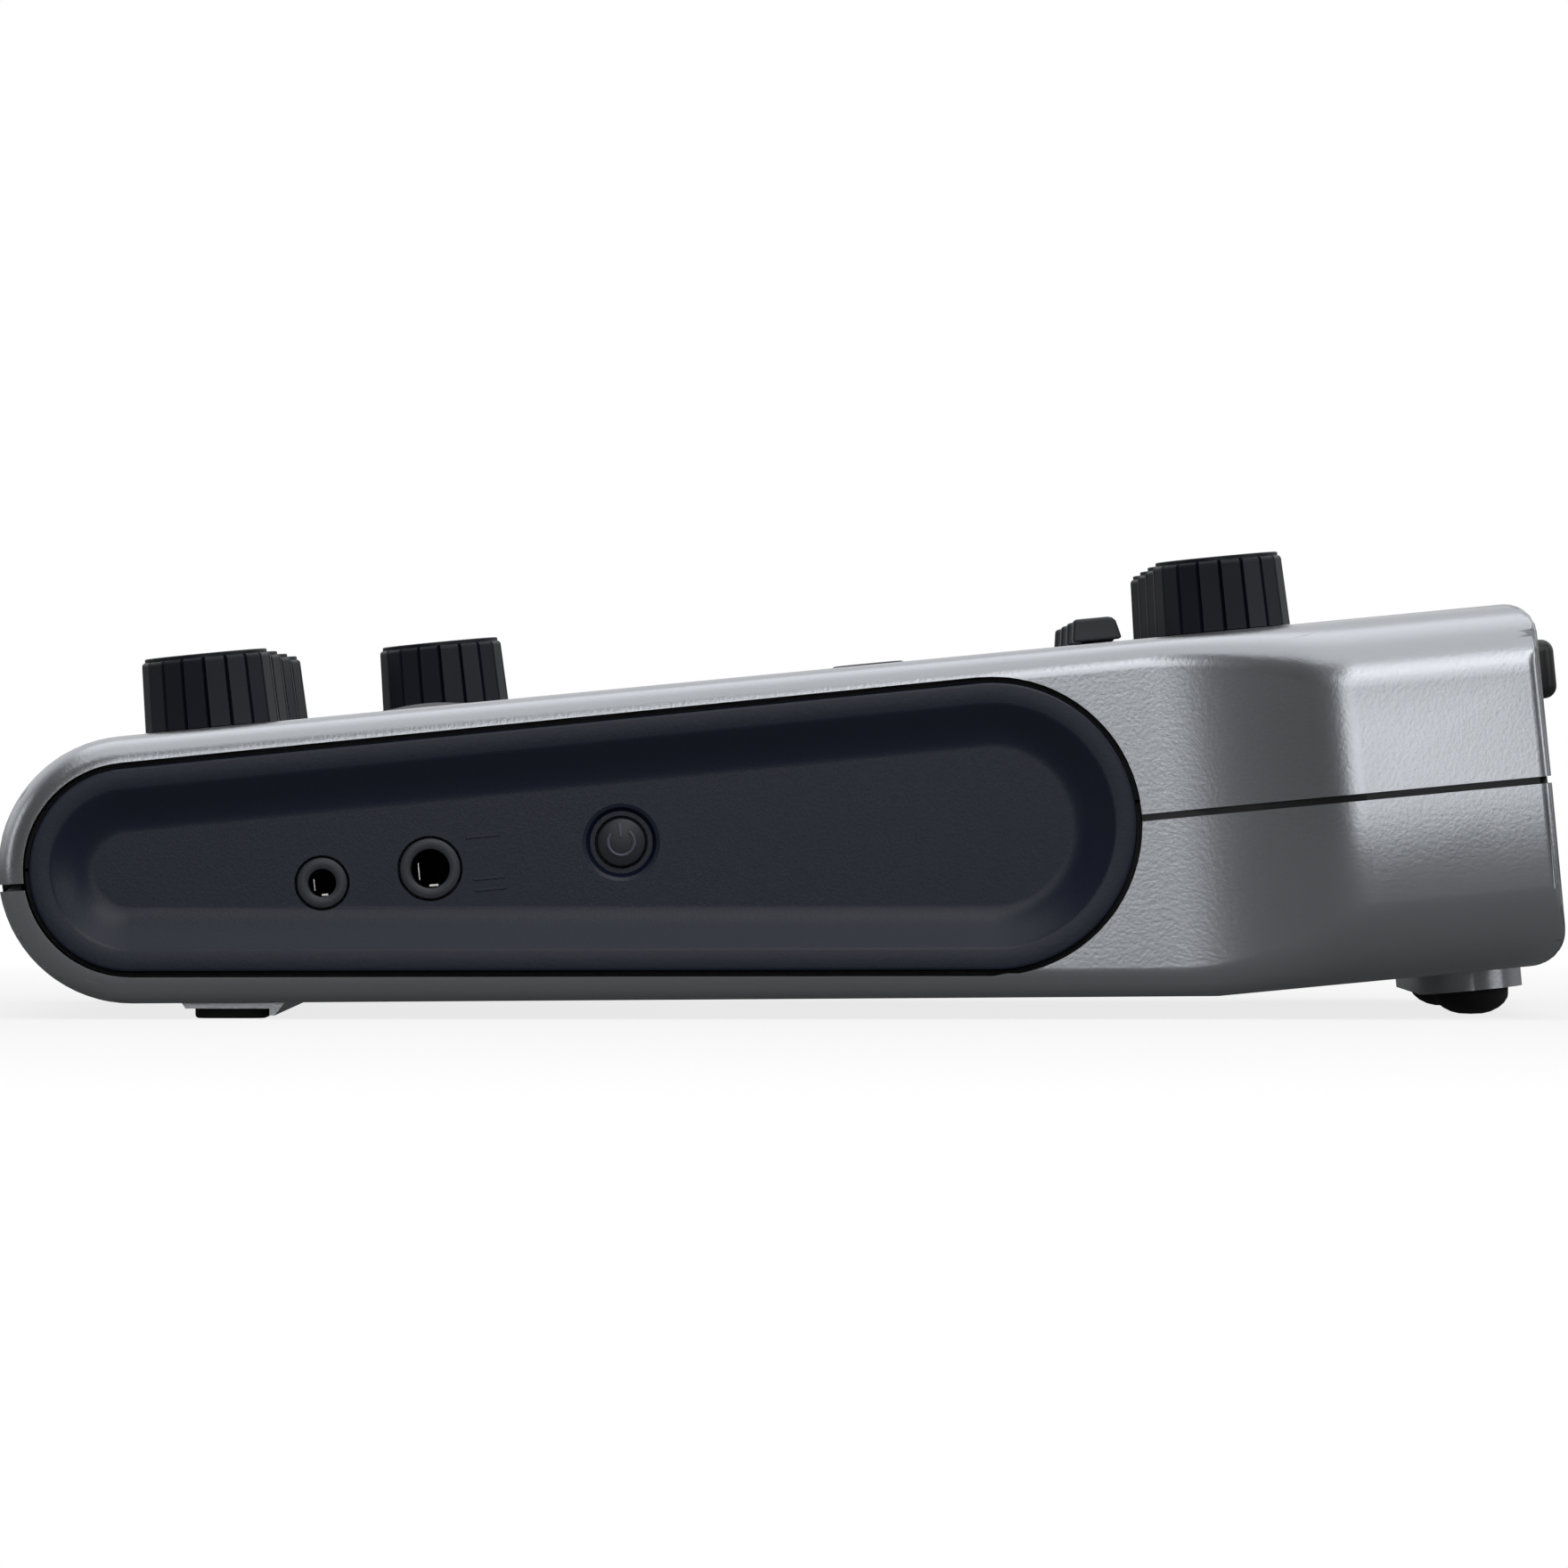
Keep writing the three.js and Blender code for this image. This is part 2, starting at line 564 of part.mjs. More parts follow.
// Display window
const LENS_WIDTH = 40;
const LENS_LENGTH = 26;
const LENS_THICKNESS = 1.1;
const LENS_CORNER = 2;
const LENS_LEDGE = 1.6;
const LENS_SUNK = 0.1;
const LENS_EDGE_FROM_MIDDLE = 0.5;
const lensX = [-LENS_EDGE_FROM_MIDDLE - LENS_WIDTH, -LENS_EDGE_FROM_MIDDLE];
const lensY = around(displayRow, LENS_LENGTH);
const grow = ([from, to], by) => [from - by, to + by];

// Slider sizes
const SLIDER_TRAVEL = 2;
const SLIDER_STEM_WIDTH = 2.4;
const SLIDER_STEM_LENGTH = 3;
const sliderSlotY = [
  switchRow - SLIDER_STEM_LENGTH / 2 - CLEARANCE,
  switchRow + SLIDER_STEM_LENGTH / 2 + SLIDER_TRAVEL + CLEARANCE,
];
const sliderSlotX = (x) => around(x, SLIDER_STEM_WIDTH + 2 * CLEARANCE);

// Sockets: those at the rear lie between the release tabs and the floor, and split the room there
const socketDropShare = 0.43;
const socketTopDepth = LATCH_DEPTH + LATCH_HEIGHT / 2;
const socketDepth = socketTopDepth + SOCKET_RADIUS
  + socketDropShare * (rearDepth - WALL - socketTopDepth - 2 * SOCKET_RADIUS);
const SOCKET_LENGTH = 20;
const NOSE_JACK_DEPTH = 14.1;
const NOSE_COLLAR_RADIUS = 3;
const PAD_RADIUS = 7;
const PAD_FLANGE = 0.6;
const LATCH_WIDTH = 9.4;

// Case screws, at the sides of the waist, and the pillars they draw together
const SCREW_INSET = 7.5;
const PILLAR_RADIUS = 2.8;
const SCREW_RADIUS = 1;
const SCREW_HEAD_RADIUS = 2.3;
const SCREW_HEAD_HEIGHT = 1.6;
const SCREW_SUNK = 0.5;
const SCREW_BITE = 5;
const screwPlaces = screwRowShares.flatMap((share) => [-1, 1].map((side) =>
  [side * (panelFace - SCREW_INSET), rowAt(share)]));

// Posts that carry the control board: midway from the phones pots to the pads, and beside the gain pots
const POST_RADIUS = 2;
const POST_BEFORE_GAIN = 6.5;
const frontPostRow = (phonesRow + POT_WIDTH / 2 + padRow - PAD_RADIUS - PAD_FLANGE) / 2;
const postPlaces = [-1, 0, 1].flatMap((step) => [
  [step * phonesPitch, frontPostRow],
  [step * channelPitch, gainRow - POST_BEFORE_GAIN],
]);

const cavity = housingForm(WALL, panelFace - cavityX, coarseSteps);
const pockets = [1, -1].map((side) => {
  const outline = panelOutline(PANEL_GAP);
  const [from, to] = [pocketFloorX, panelFace + OVERRUN].map((x) => side * x).sort((a, b) => a - b);
  return prism('x', outline, from, to);
});
const socketHoles = channels.map((step) =>
  rod('y', SOCKET_RADIUS + CLEARANCE, rearFace - WALL - OVERRUN, rearFace + OVERRUN,
    [step * channelPitch, -socketDepth]));
const noseJackHoles = channels.map((step) =>
  rod('y', NOSE_COLLAR_RADIUS + CLEARANCE, noseTip - OVERRUN, 0,
    [step * phonesPitch, -NOSE_JACK_DEPTH], SMALL_SIDES));

function upperCase() {
  const shell = cut(
    housingForm(0, 0, fineSteps, rearFace - REAR_STEP).intersect(aboveParting(PARTING_GAP / 2)),
    housingForm(SEAM_LIP, SEAM_LIP, coarseSteps).intersect(belowParting(TONGUE_HEIGHT + CLEARANCE)),
    cavity,
  );
  const into = -WALL / 2;
  const posts = postPlaces.map((spot) =>
    rod('z', POST_RADIUS, CLEARANCE - CONTROL_BOARD_DEPTH, into, spot, HIDDEN_SIDES));
  const pillars = screwPlaces.map((spot) =>
    rod('z', PILLAR_RADIUS, partingAt(spot[1]) + TONGUE_HEIGHT + CLEARANCE, into, spot, HIDDEN_SIDES));
  const pilots = screwPlaces.map((spot) => rod('z', SCREW_RADIUS + CLEARANCE,
    partingAt(spot[1]) - OVERRUN, partingAt(spot[1]) + SCREW_BITE + OVERRUN, spot, HIDDEN_SIDES));
  const through = -WALL - OVERRUN;
  const knobHoles = Object.values(knobPlaces).map((spot) =>
    rod('z', SHAFT_RADIUS + SHAFT_HOLE_GAP, through, OVERRUN, spot, SMALL_SIDES));
  const padHoles = padPlaces.map((spot) =>
    rod('z', PAD_RADIUS + CLEARANCE, through, OVERRUN, spot, PAD_SIDES));
  const keyHoles = Object.values(keyPlaces).map(({ place: spot, radius }) =>
    rod('z', radius + CLEARANCE, through, OVERRUN, spot, KEY_SIDES));
  const sliderSlots = channels.map((step) =>
    block(sliderSlotX(step * channelPitch), sliderSlotY, [through, OVERRUN]));
  const lensFloor = -LENS_SUNK - LENS_THICKNESS - CLEARANCE;
  const lensSeat = prism('z', roundedOutline(grow(lensX, CLEARANCE), grow(lensY, CLEARANCE), LENS_CORNER),
    lensFloor, OVERRUN);
  const window = block(grow(lensX, -LENS_LEDGE), grow(lensY, -LENS_LEDGE), [through, OVERRUN]);
  const latchHoles = channels.map((step) => block(
    around(step * channelPitch, LATCH_WIDTH + 2 * CLEARANCE),
    [rearFace - WALL - OVERRUN, rearFace + OVERRUN],
    around(-LATCH_DEPTH, LATCH_HEIGHT + 2 * CLEARANCE)));
  return cut(join(shell, ...posts, ...pillars), ...pilots, ...pockets, ...sideHoles(panelFace), ...knobHoles,
    ...padHoles, ...keyHoles, ...sliderSlots, lensSeat, window, ...latchHoles, ...socketHoles,
    ...noseJackHoles);
}

place(deck, 'upper_case', upperCase(), SILVER);

// Underside pieces, level with the table: a rib with two rubber pads before its lip under the nose, a battery
// door between its bay walls, and two domed feet on a rib under the rear
const FOOT_RIB_FROM_NOSE = 18.55;
const FOOT_RIB_INSET = 4;
const FOOT_RIB_HEIGHT = 1;
const FOOT_RIB_FRONT_RAMP = 1.1;
const FOOT_RIB_REAR_RAMP = 1.8;
const FOOT_LIP_HEIGHT = 0.3;
const FOOT_LIP_LENGTH = 0.5;
const FOOT_PAD_MARGIN = 1.4;
const FOOT_PAD_SET_BACK = 0.85;
const FOOT_PAD_WIDTH = 7.2;
const FOOT_PAD_LENGTH = 16;
const FOOT_PAD_THICKNESS = 1.6;
const FOOT_PAD_CORNER = 1.5;
const footRibHalfWidth = WAIST_WIDTH / 2 - FOOT_RIB_INSET;
const worldNoseTip = deckOriginY - noseReach;
const footRibFront = worldNoseTip + FOOT_RIB_FROM_NOSE;
const footPadY = [footRibFront + FOOT_PAD_SET_BACK, footRibFront + FOOT_PAD_SET_BACK + FOOT_PAD_WIDTH];
const footLipY = [footPadY[1] + CLEARANCE, footPadY[1] + CLEARANCE + FOOT_LIP_LENGTH];
const footRibRear = footLipY[1] + FOOT_RIB_REAR_RAMP;
const footPadX = (side) => {
  const outer = side * (footRibHalfWidth - FOOT_PAD_MARGIN);
  return [outer - side * FOOT_PAD_LENGTH, outer].sort((a, b) => a - b);
};

const REAR_RIB_FROM_REAR = 8.2;
const REAR_RIB_LENGTH = 10.4;
const REAR_RIB_HALF_WIDTH = 28.5;
const REAR_RIB_HEIGHT = 2.3;
const REAR_RIB_CORNER = 5;
const REAR_FOOT_RADIUS = 3.8;
const REAR_FOOT_HEIGHT = 4;
const REAR_FOOT_SPACING = 46;
const REAR_FOOT_DOME = 1.6;
const REAR_FOOT_FLAT_RADIUS = 1.6;
const rearRibY = around(rearFace - REAR_RIB_FROM_REAR, REAR_RIB_LENGTH);
const rearFootY = worldPoint(0, rearFace - REAR_RIB_FROM_REAR, -rearDepth - REAR_RIB_HEIGHT).y;

const CELL_RADIUS = 7.1;
const CELL_LENGTH = 49.5;
const CELL_PITCH = 15;
const CELL_NUB_RADIUS = 2.7;
const CELL_NUB_LENGTH = 1;
const BAY_END_ROOM = 2.55;
const BAY_SIDE_ROOM = 2.2;
const BAY_WALL = 2.2;
const BAY_WALL_TOP = 7.5;
const DOOR_BOTTOM = 1.9;
const DOOR_THICKNESS = 2;
const DOOR_BARREL_RADIUS = 1.5;
const DOOR_PIN_RADIUS = 0.7;
const DOOR_PIN_LENGTH = 1.5;
const DOOR_GRIP_WIDTH = 14;
const DOOR_GRIP_LENGTH = 4;
const DOOR_GRIP_DEPTH = 0.7;
const bayLength = 2 * (CELL_RADIUS + BAY_SIDE_ROOM) + CELL_PITCH;
const bayHalfWidth = CELL_LENGTH / 2 + CELL_NUB_LENGTH + BAY_END_ROOM;
const bayY = [footRibRear + BAY_WALL, footRibRear + BAY_WALL + bayLength];
const bayX = [-bayHalfWidth, bayHalfWidth];
const hingeY = bayY[1] - CLEARANCE - DOOR_BARREL_RADIUS;
const hingeZ = DOOR_BOTTOM + DOOR_BARREL_RADIUS;
const cellZ = DOOR_BOTTOM + DOOR_THICKNESS + CLEARANCE + CELL_RADIUS;

// Power button's parts behind the panel, and the switch on the main board that its stem presses
const POWER_STEM_LENGTH = 3;
const SWITCH_BLOCK_WIDTH = 5;
const SWITCH_BLOCK_DEPTH = 4;
const powerFlangeX = cavityX - CLEARANCE;
const powerStemEnd = powerFlangeX - POWER_STEM_LENGTH;
const switchFace = powerStemEnd - POWER_TRAVEL - CLEARANCE;

// Main board: a level plate round the battery bay, on bosses of the lower case, that reaches out under the
// power switch
const MAIN_BOARD_BOTTOM = 8.2;
const BOARD_THICKNESS = 1.6;
const MAIN_BOARD_FRONT_FROM_NOSE = 25.5;
const MAIN_BOARD_REAR_GAP = 2;
const boardUnderSwitchShare = 0.6;
const BOSS_RADIUS = 2.5;
const mainBoardTop = MAIN_BOARD_BOTTOM + BOARD_THICKNESS;
const mainBoardFront = worldNoseTip + MAIN_BOARD_FRONT_FROM_NOSE;
const socketFront = worldPoint(0, rearFace - SOCKET_LENGTH, -socketDepth - SOCKET_RADIUS).y;
const mainBoardRear = socketFront - BOARD_THICKNESS;
const mainBoardHalf = switchFace - SWITCH_BLOCK_DEPTH * (1 - boardUnderSwitchShare);
const mainBoardRearHalf = Math.min(mainBoardHalf, rearCavityX - MAIN_BOARD_REAR_GAP);
const wingMiddle = (mainBoardRearHalf + bayHalfWidth + BAY_WALL) / 2;
const bossPlaces = [-1, 1].flatMap((side) => [
  [side * wingMiddle, mainBoardFront + 2 * BOSS_RADIUS],
  [side * wingMiddle, bayY[1] + 4 * BOSS_RADIUS],
  [side * wingMiddle, mainBoardRear - 2 * BOSS_RADIUS],
]);
const undersideWorldAt = (y) => {
  const along = (y - deckOriginY) / Math.cos(slope);
  return worldPoint(0, along, undersideAt(along)).z;
};

function lowerCase() {
  const shell = housingForm(0, 0, fineSteps).intersect(belowParting(-PARTING_GAP / 2));
  const tongue = housingForm(SEAM_LIP + CLEARANCE, SEAM_LIP + CLEARANCE, coarseSteps)
    .intersect(belowParting(TONGUE_HEIGHT))
    .intersect(aboveParting(-PARTING_GAP - WALL));
  const hollow = cut(join(shell, tongue), cavity);
  const ribTop = UNDERSIDE_HEIGHT + WALL / 2;
  const footRib = prism('x', [
    [footRibFront - FOOT_RIB_FRONT_RAMP, ribTop],
    [footRibFront, FOOT_RIB_HEIGHT],
    [footLipY[0], FOOT_RIB_HEIGHT],
    [footLipY[0], FOOT_LIP_HEIGHT],
    [footLipY[1], FOOT_LIP_HEIGHT],
    [footRibRear, ribTop],
  ], -footRibHalfWidth, footRibHalfWidth, toDeck);
  const padSeats = [-1, 1].map((side) => block(grow(footPadX(side), CLEARANCE), grow(footPadY, CLEARANCE),
    [-OVERRUN, FOOT_PAD_THICKNESS + CLEARANCE], toDeck));
  const rearRib = prism('z', roundedOutline([-REAR_RIB_HALF_WIDTH, REAR_RIB_HALF_WIDTH], rearRibY,
    REAR_RIB_CORNER), -rearDepth - REAR_RIB_HEIGHT, WALL / 2 - rearDepth);
  const footSeats = halfSpan(REAR_FOOT_SPACING).map((x) => rod('z', REAR_FOOT_RADIUS + CLEARANCE, -OVERRUN,
    REAR_FOOT_HEIGHT + CLEARANCE, [x, rearFootY], ROUND_SIDES, undefined, toDeck));
  const bayWall = block(grow(bayX, BAY_WALL), grow(bayY, BAY_WALL),
    [DOOR_BOTTOM + WALL / 2, BAY_WALL_TOP], toDeck);
  const bayOpening = block(bayX, bayY, [-OVERRUN, BAY_WALL_TOP + OVERRUN], toDeck);
  const pinHole = rod('x', DOOR_PIN_RADIUS + CLEARANCE, bayX[0] - DOOR_PIN_LENGTH, bayX[1] + DOOR_PIN_LENGTH,
    [hingeY, hingeZ], SMALL_SIDES, undefined, toDeck);
  const bosses = bossPlaces.map(([x, y]) => rod('z', BOSS_RADIUS, undersideWorldAt(y) + WALL / 2,
    MAIN_BOARD_BOTTOM - CLEARANCE, [x, y], HIDDEN_SIDES, undefined, toDeck));
  const pillars = screwPlaces.map((spot) => rod('z', PILLAR_RADIUS, undersideAt(spot[1]) + WALL / 2,
    partingAt(spot[1]) + TONGUE_HEIGHT, spot, HIDDEN_SIDES));
  const bores = screwPlaces.map((spot) => rod('z', SCREW_RADIUS + CLEARANCE, undersideAt(spot[1]) - OVERRUN,
    partingAt(spot[1]) + TONGUE_HEIGHT + OVERRUN, spot, HIDDEN_SIDES));
  const headSeats = screwPlaces.map((spot) => rod('z', SCREW_HEAD_RADIUS + CLEARANCE,
    undersideAt(spot[1]) - OVERRUN, undersideAt(spot[1]) + SCREW_SUNK + SCREW_HEAD_HEIGHT + CLEARANCE, spot,
    SMALL_SIDES));
  const headSleeves = screwPlaces.map((spot) => rod('z', SCREW_HEAD_RADIUS + 4 * CLEARANCE,
    undersideAt(spot[1]) + WALL / 2, undersideAt(spot[1]) + SCREW_SUNK + SCREW_HEAD_HEIGHT + WALL, spot,
    SMALL_SIDES));
  return cut(
    join(hollow, footRib, rearRib, bayWall, ...bosses, ...pillars, ...headSleeves),
    bayOpening, pinHole, ...padSeats, ...footSeats, ...bores, ...headSeats, ...pockets,
    ...sideHoles(panelFace), ...socketHoles, ...noseJackHoles,
  );
}

place(deck, 'lower_case', lowerCase(), SILVER);

screwPlaces.forEach(([x, y], i) => {
  const headBottom = undersideAt(y) + SCREW_SUNK;
  const shank = rod('z', SCREW_RADIUS, headBottom, partingAt(y) + SCREW_BITE, [0, 0], SMALL_SIDES);
  const head = rod('z', SCREW_HEAD_RADIUS, headBottom, headBottom + SCREW_HEAD_HEIGHT, [0, 0], SMALL_SIDES);
  place(deck, `case_screw_${i + 1}`, join(shank, head), STEEL, x, y, 0);
});

// Side panels
const powerWell = rod('x', POWER_WELL_RADIUS, dishFloorX - POWER_WELL_DEPTH, panelFace,
  [powerPlace.y, powerPlace.z]);
place(deck, 'side_panel_right', cut(panelBody(1), ...sideHoles(panelFace), powerWell), PANEL);
place(deck, 'side_panel_left', cut(panelBody(-1), ...sideHoles(panelFace)), PANEL);

// Knobs: moulded with a fluted skirt of flat ribs between narrow grooves, a thin cap, and a shaft below
const RIBS = 18;
const KNOB_BASE_RADIUS = 6.75;
const KNOB_TOP_RADIUS = 6.45;
const KNOB_CAP_RADIUS = 5.9;
const KNOB_GAP = 0.4;
const KNOB_HEIGHT = 6.75;
const KNOB_CAP_HEIGHT = 0.35;
const GROOVE_DEPTH = 0.5;
const grooveShare = 0.2;
const SHAFT_END_DEPTH = 7.2;

function knobBody() {
  const ring = (radius, height) => Array.from({ length: RIBS }, (_, i) => {
    const pitch = FULL_TURN / RIBS;
    const middle = i * pitch;
    const half = pitch * (1 - grooveShare) / 2;
    return [[middle - half, radius], [middle + half, radius], [middle + pitch / 2, radius - GROOVE_DEPTH]]
      .map(([angle, reach]) => new THREE.Vector3(reach * Math.cos(angle), reach * Math.sin(angle), height));
  }).flat();
  const top = KNOB_GAP + KNOB_HEIGHT;
  const skirt = loft([
    ring(KNOB_BASE_RADIUS, KNOB_GAP),
    ring(KNOB_TOP_RADIUS, top),
  ]);
  const cap = rod('z', KNOB_CAP_RADIUS, top - KNOB_CAP_HEIGHT, top + KNOB_CAP_HEIGHT, [0, 0], KEY_SIDES);
  const shaft = rod('z', SHAFT_RADIUS, -SHAFT_END_DEPTH, 2 * KNOB_GAP, [0, 0], SMALL_SIDES);
  return join(skirt, cap, shaft);
}

const knob = knobBody();
for (const [name, [x, y]] of Object.entries(knobPlaces)) place(deck, name, knob, KNOB, x, y, 0);

// Sound pads: low rubber domes with a flange under the deck and a plunger over the board
const PAD_PROUD = 0.7;
const PAD_EDGE_PROUD = 0.1;
const PAD_FLANGE_THICKNESS = 0.8;
const PAD_PLUNGER_RADIUS = 3;
const PAD_TRAVEL = 0.6;
const domeShares = [[0, 1], [0.7, 0.72], [1, 0]];
const padBody = turned([
  ...domeShares.map(([out, up]) =>
    [PAD_RADIUS * out, THREE.MathUtils.lerp(PAD_EDGE_PROUD, PAD_PROUD, up)]),
  [PAD_RADIUS, -WALL - CLEARANCE],
  [PAD_RADIUS + PAD_FLANGE, -WALL - CLEARANCE],
  [PAD_RADIUS + PAD_FLANGE, -WALL - CLEARANCE - PAD_FLANGE_THICKNESS],
  [PAD_PLUNGER_RADIUS, -WALL - CLEARANCE - PAD_FLANGE_THICKNESS],
  [PAD_PLUNGER_RADIUS, PAD_TRAVEL + CLEARANCE - CONTROL_BOARD_DEPTH],
  [0, PAD_TRAVEL + CLEARANCE - CONTROL_BOARD_DEPTH],
], PAD_SIDES);
padPlaces.forEach(([x, y], i) => place(deck, `sound_pad_${i + 1}`, padBody, RUBBER, x, y, 0));

// Keys: low caps with a flange under the deck and a stem over a small switch on the board
const KEY_PROUD = 0.2;
const KEY_FLANGE = 0.8;
const KEY_STEM_RADIUS = 1.5;
const KEY_TRAVEL = 0.4;
const TACT_WIDTH = 6;
const TACT_HEIGHT = 3;
const tactTop = TACT_HEIGHT - CONTROL_BOARD_DEPTH;
for (const [name, { place: [x, y], radius }] of Object.entries(keyPlaces)) {
  const under = -WALL - CLEARANCE;
  const body = turned([
    [0, KEY_PROUD],
    [radius, KEY_PROUD],
    [radius, under],
    [radius + KEY_FLANGE, under],
    [radius + KEY_FLANGE, under - KEY_FLANGE],
    [KEY_STEM_RADIUS, under - KEY_FLANGE],
    [KEY_STEM_RADIUS, tactTop + KEY_TRAVEL + CLEARANCE],
    [0, tactTop + KEY_TRAVEL + CLEARANCE],
  ], KEY_SIDES);
  place(deck, name, body, name === 'record_button' ? RED_RUBBER : RUBBER, x, y, 0);
}

// Sliders: a tapered lever with a rounded back over its slot, and a stem into a switch on the board
const SLIDER_LENGTH = 5;
const SLIDER_WIDTH = 4.2;
const SLIDER_HEIGHT = 2.6;
const SLIDER_DRAFT = 0.35;
const SLIDER_ROUND = 0.9;
const SLIDER_END_DEPTH = 5.2;
const SLIDE_SWITCH_TOP = 4.2;
const SLIDE_SWITCH_WIDTH = 6;
const SLIDE_SWITCH_LENGTH = 9;
const sliderBody = join(
  prism('x', [
    [-SLIDER_LENGTH / 2, CLEARANCE],
    [SLIDER_LENGTH / 2, CLEARANCE],
    ...arc([SLIDER_LENGTH / 2 - SLIDER_DRAFT - SLIDER_ROUND, SLIDER_HEIGHT - SLIDER_ROUND], SLIDER_ROUND, 0,
      RIGHT_ANGLE, CORNER_STEPS),
    [SLIDER_DRAFT - SLIDER_LENGTH / 2, SLIDER_HEIGHT],
  ], -SLIDER_WIDTH / 2, SLIDER_WIDTH / 2),
  block(halfSpan(SLIDER_STEM_WIDTH), halfSpan(SLIDER_STEM_LENGTH), [-SLIDER_END_DEPTH, 2 * CLEARANCE]),
);
channels.forEach((step, i) =>
  place(deck, `input_switch_${i + 1}`, sliderBody, BLACK_PLASTIC, step * channelPitch, switchRow, 0));

// Display: a clear lens in its seat in the deck, and the module under the window
const DISPLAY_THICKNESS = 3.2;
place(deck, 'display_lens',
  prism('z', roundedOutline(lensX, lensY, LENS_CORNER), -LENS_SUNK - LENS_THICKNESS, -LENS_SUNK), GLASS);
place(deck, 'display_module', block(grow(lensX, -CLEARANCE), grow(lensY, -CLEARANCE),
  [-WALL - CLEARANCE - DISPLAY_THICKNESS, -WALL - CLEARANCE]), BLACK_PLASTIC);

// Control board: a plate under the deck with the potentiometers, slide switches and key switches on it,
// notched for the case pillars
const POT_GAP = 0.5;
const BOARD_FRONT = -5;
const BOARD_SIDE_GAP = 0.8;
function controlBoard() {
  const boardMiddle = -CONTROL_BOARD_DEPTH - BOARD_THICKNESS / 2;
  const plate = block(halfSpan(2 * (Math.min(cavityX, rearCavityX) - BOARD_SIDE_GAP)),
    [BOARD_FRONT, rearFace - SOCKET_LENGTH - BOARD_THICKNESS],
    [-CONTROL_BOARD_DEPTH - BOARD_THICKNESS, -CONTROL_BOARD_DEPTH]);
  const pots = Object.values(knobPlaces).map(([x, y]) =>
    block(around(x, POT_WIDTH), around(y, POT_WIDTH), [boardMiddle, -WALL - POT_GAP]));
  const sliders = channels.map((step) => block(around(step * channelPitch, SLIDE_SWITCH_WIDTH),
    around(switchRow + SLIDER_TRAVEL / 2, SLIDE_SWITCH_LENGTH), [boardMiddle, -SLIDE_SWITCH_TOP]));
  const tacts = Object.values(keyPlaces).map(({ place: [x, y] }) =>
    block(around(x, TACT_WIDTH), around(y, TACT_WIDTH), [boardMiddle, tactTop]));
  const shaftHoles = Object.values(knobPlaces).map((spot) => rod('z', SHAFT_RADIUS + CLEARANCE,
    -SHAFT_END_DEPTH - CLEARANCE, 0, spot, SMALL_SIDES));
  const sliderSlots = channels.map((step) => block(sliderSlotX(step * channelPitch), sliderSlotY,
    [-SLIDER_END_DEPTH - CLEARANCE, 0]));
  const notches = screwPlaces.map((spot) => rod('z', PILLAR_RADIUS + POT_GAP,
    -CONTROL_BOARD_DEPTH - BOARD_THICKNESS - OVERRUN, 0, spot, SMALL_SIDES));
  return cut(join(plate, ...pots, ...sliders, ...tacts), ...shaftHoles, ...sliderSlots, ...notches);
}
place(deck, 'control_board', controlBoard(), BOARD);

// Microphone sockets: a shell round an annular bore and an insert with three contact holes
const SOCKET_WALL = 0.6;
const SOCKET_INSERT_RADIUS = 7.4;
const SOCKET_BORE_DEPTH = 12;
const SOCKET_INSERT_SUNK = 0.8;
const CONTACT_RADIUS = 1.3;
const CONTACT_DEPTH = 9;
const CONTACT_CIRCLE = 4;
const socketBody = cut(
  solid(new THREE.LatheGeometry([
    [0, -SOCKET_LENGTH],
    [SOCKET_RADIUS, -SOCKET_LENGTH],
    [SOCKET_RADIUS, 0],
    [SOCKET_RADIUS - SOCKET_WALL, 0],
    [SOCKET_RADIUS - SOCKET_WALL, -SOCKET_BORE_DEPTH],
    [SOCKET_INSERT_RADIUS, -SOCKET_BORE_DEPTH],
    [SOCKET_INSERT_RADIUS, -SOCKET_INSERT_SUNK],
    [0, -SOCKET_INSERT_SUNK],
  ].map(([radius, along]) => new THREE.Vector2(radius, along)), ROUND_SIDES)),
  ...[0, 1, 2].map((i) => {
    const angle = i * RIGHT_ANGLE;
    return rod('y', CONTACT_RADIUS, -SOCKET_INSERT_SUNK - CONTACT_DEPTH, OVERRUN,
      [CONTACT_CIRCLE * Math.cos(angle), -CONTACT_CIRCLE * Math.sin(angle)], HIDDEN_SIDES);
  }),
);
channels.forEach((step, i) => place(deck, `xlr_socket_${i + 1}`, socketBody, BLACK_PLASTIC,
  step * channelPitch, rearFace, -socketDepth));

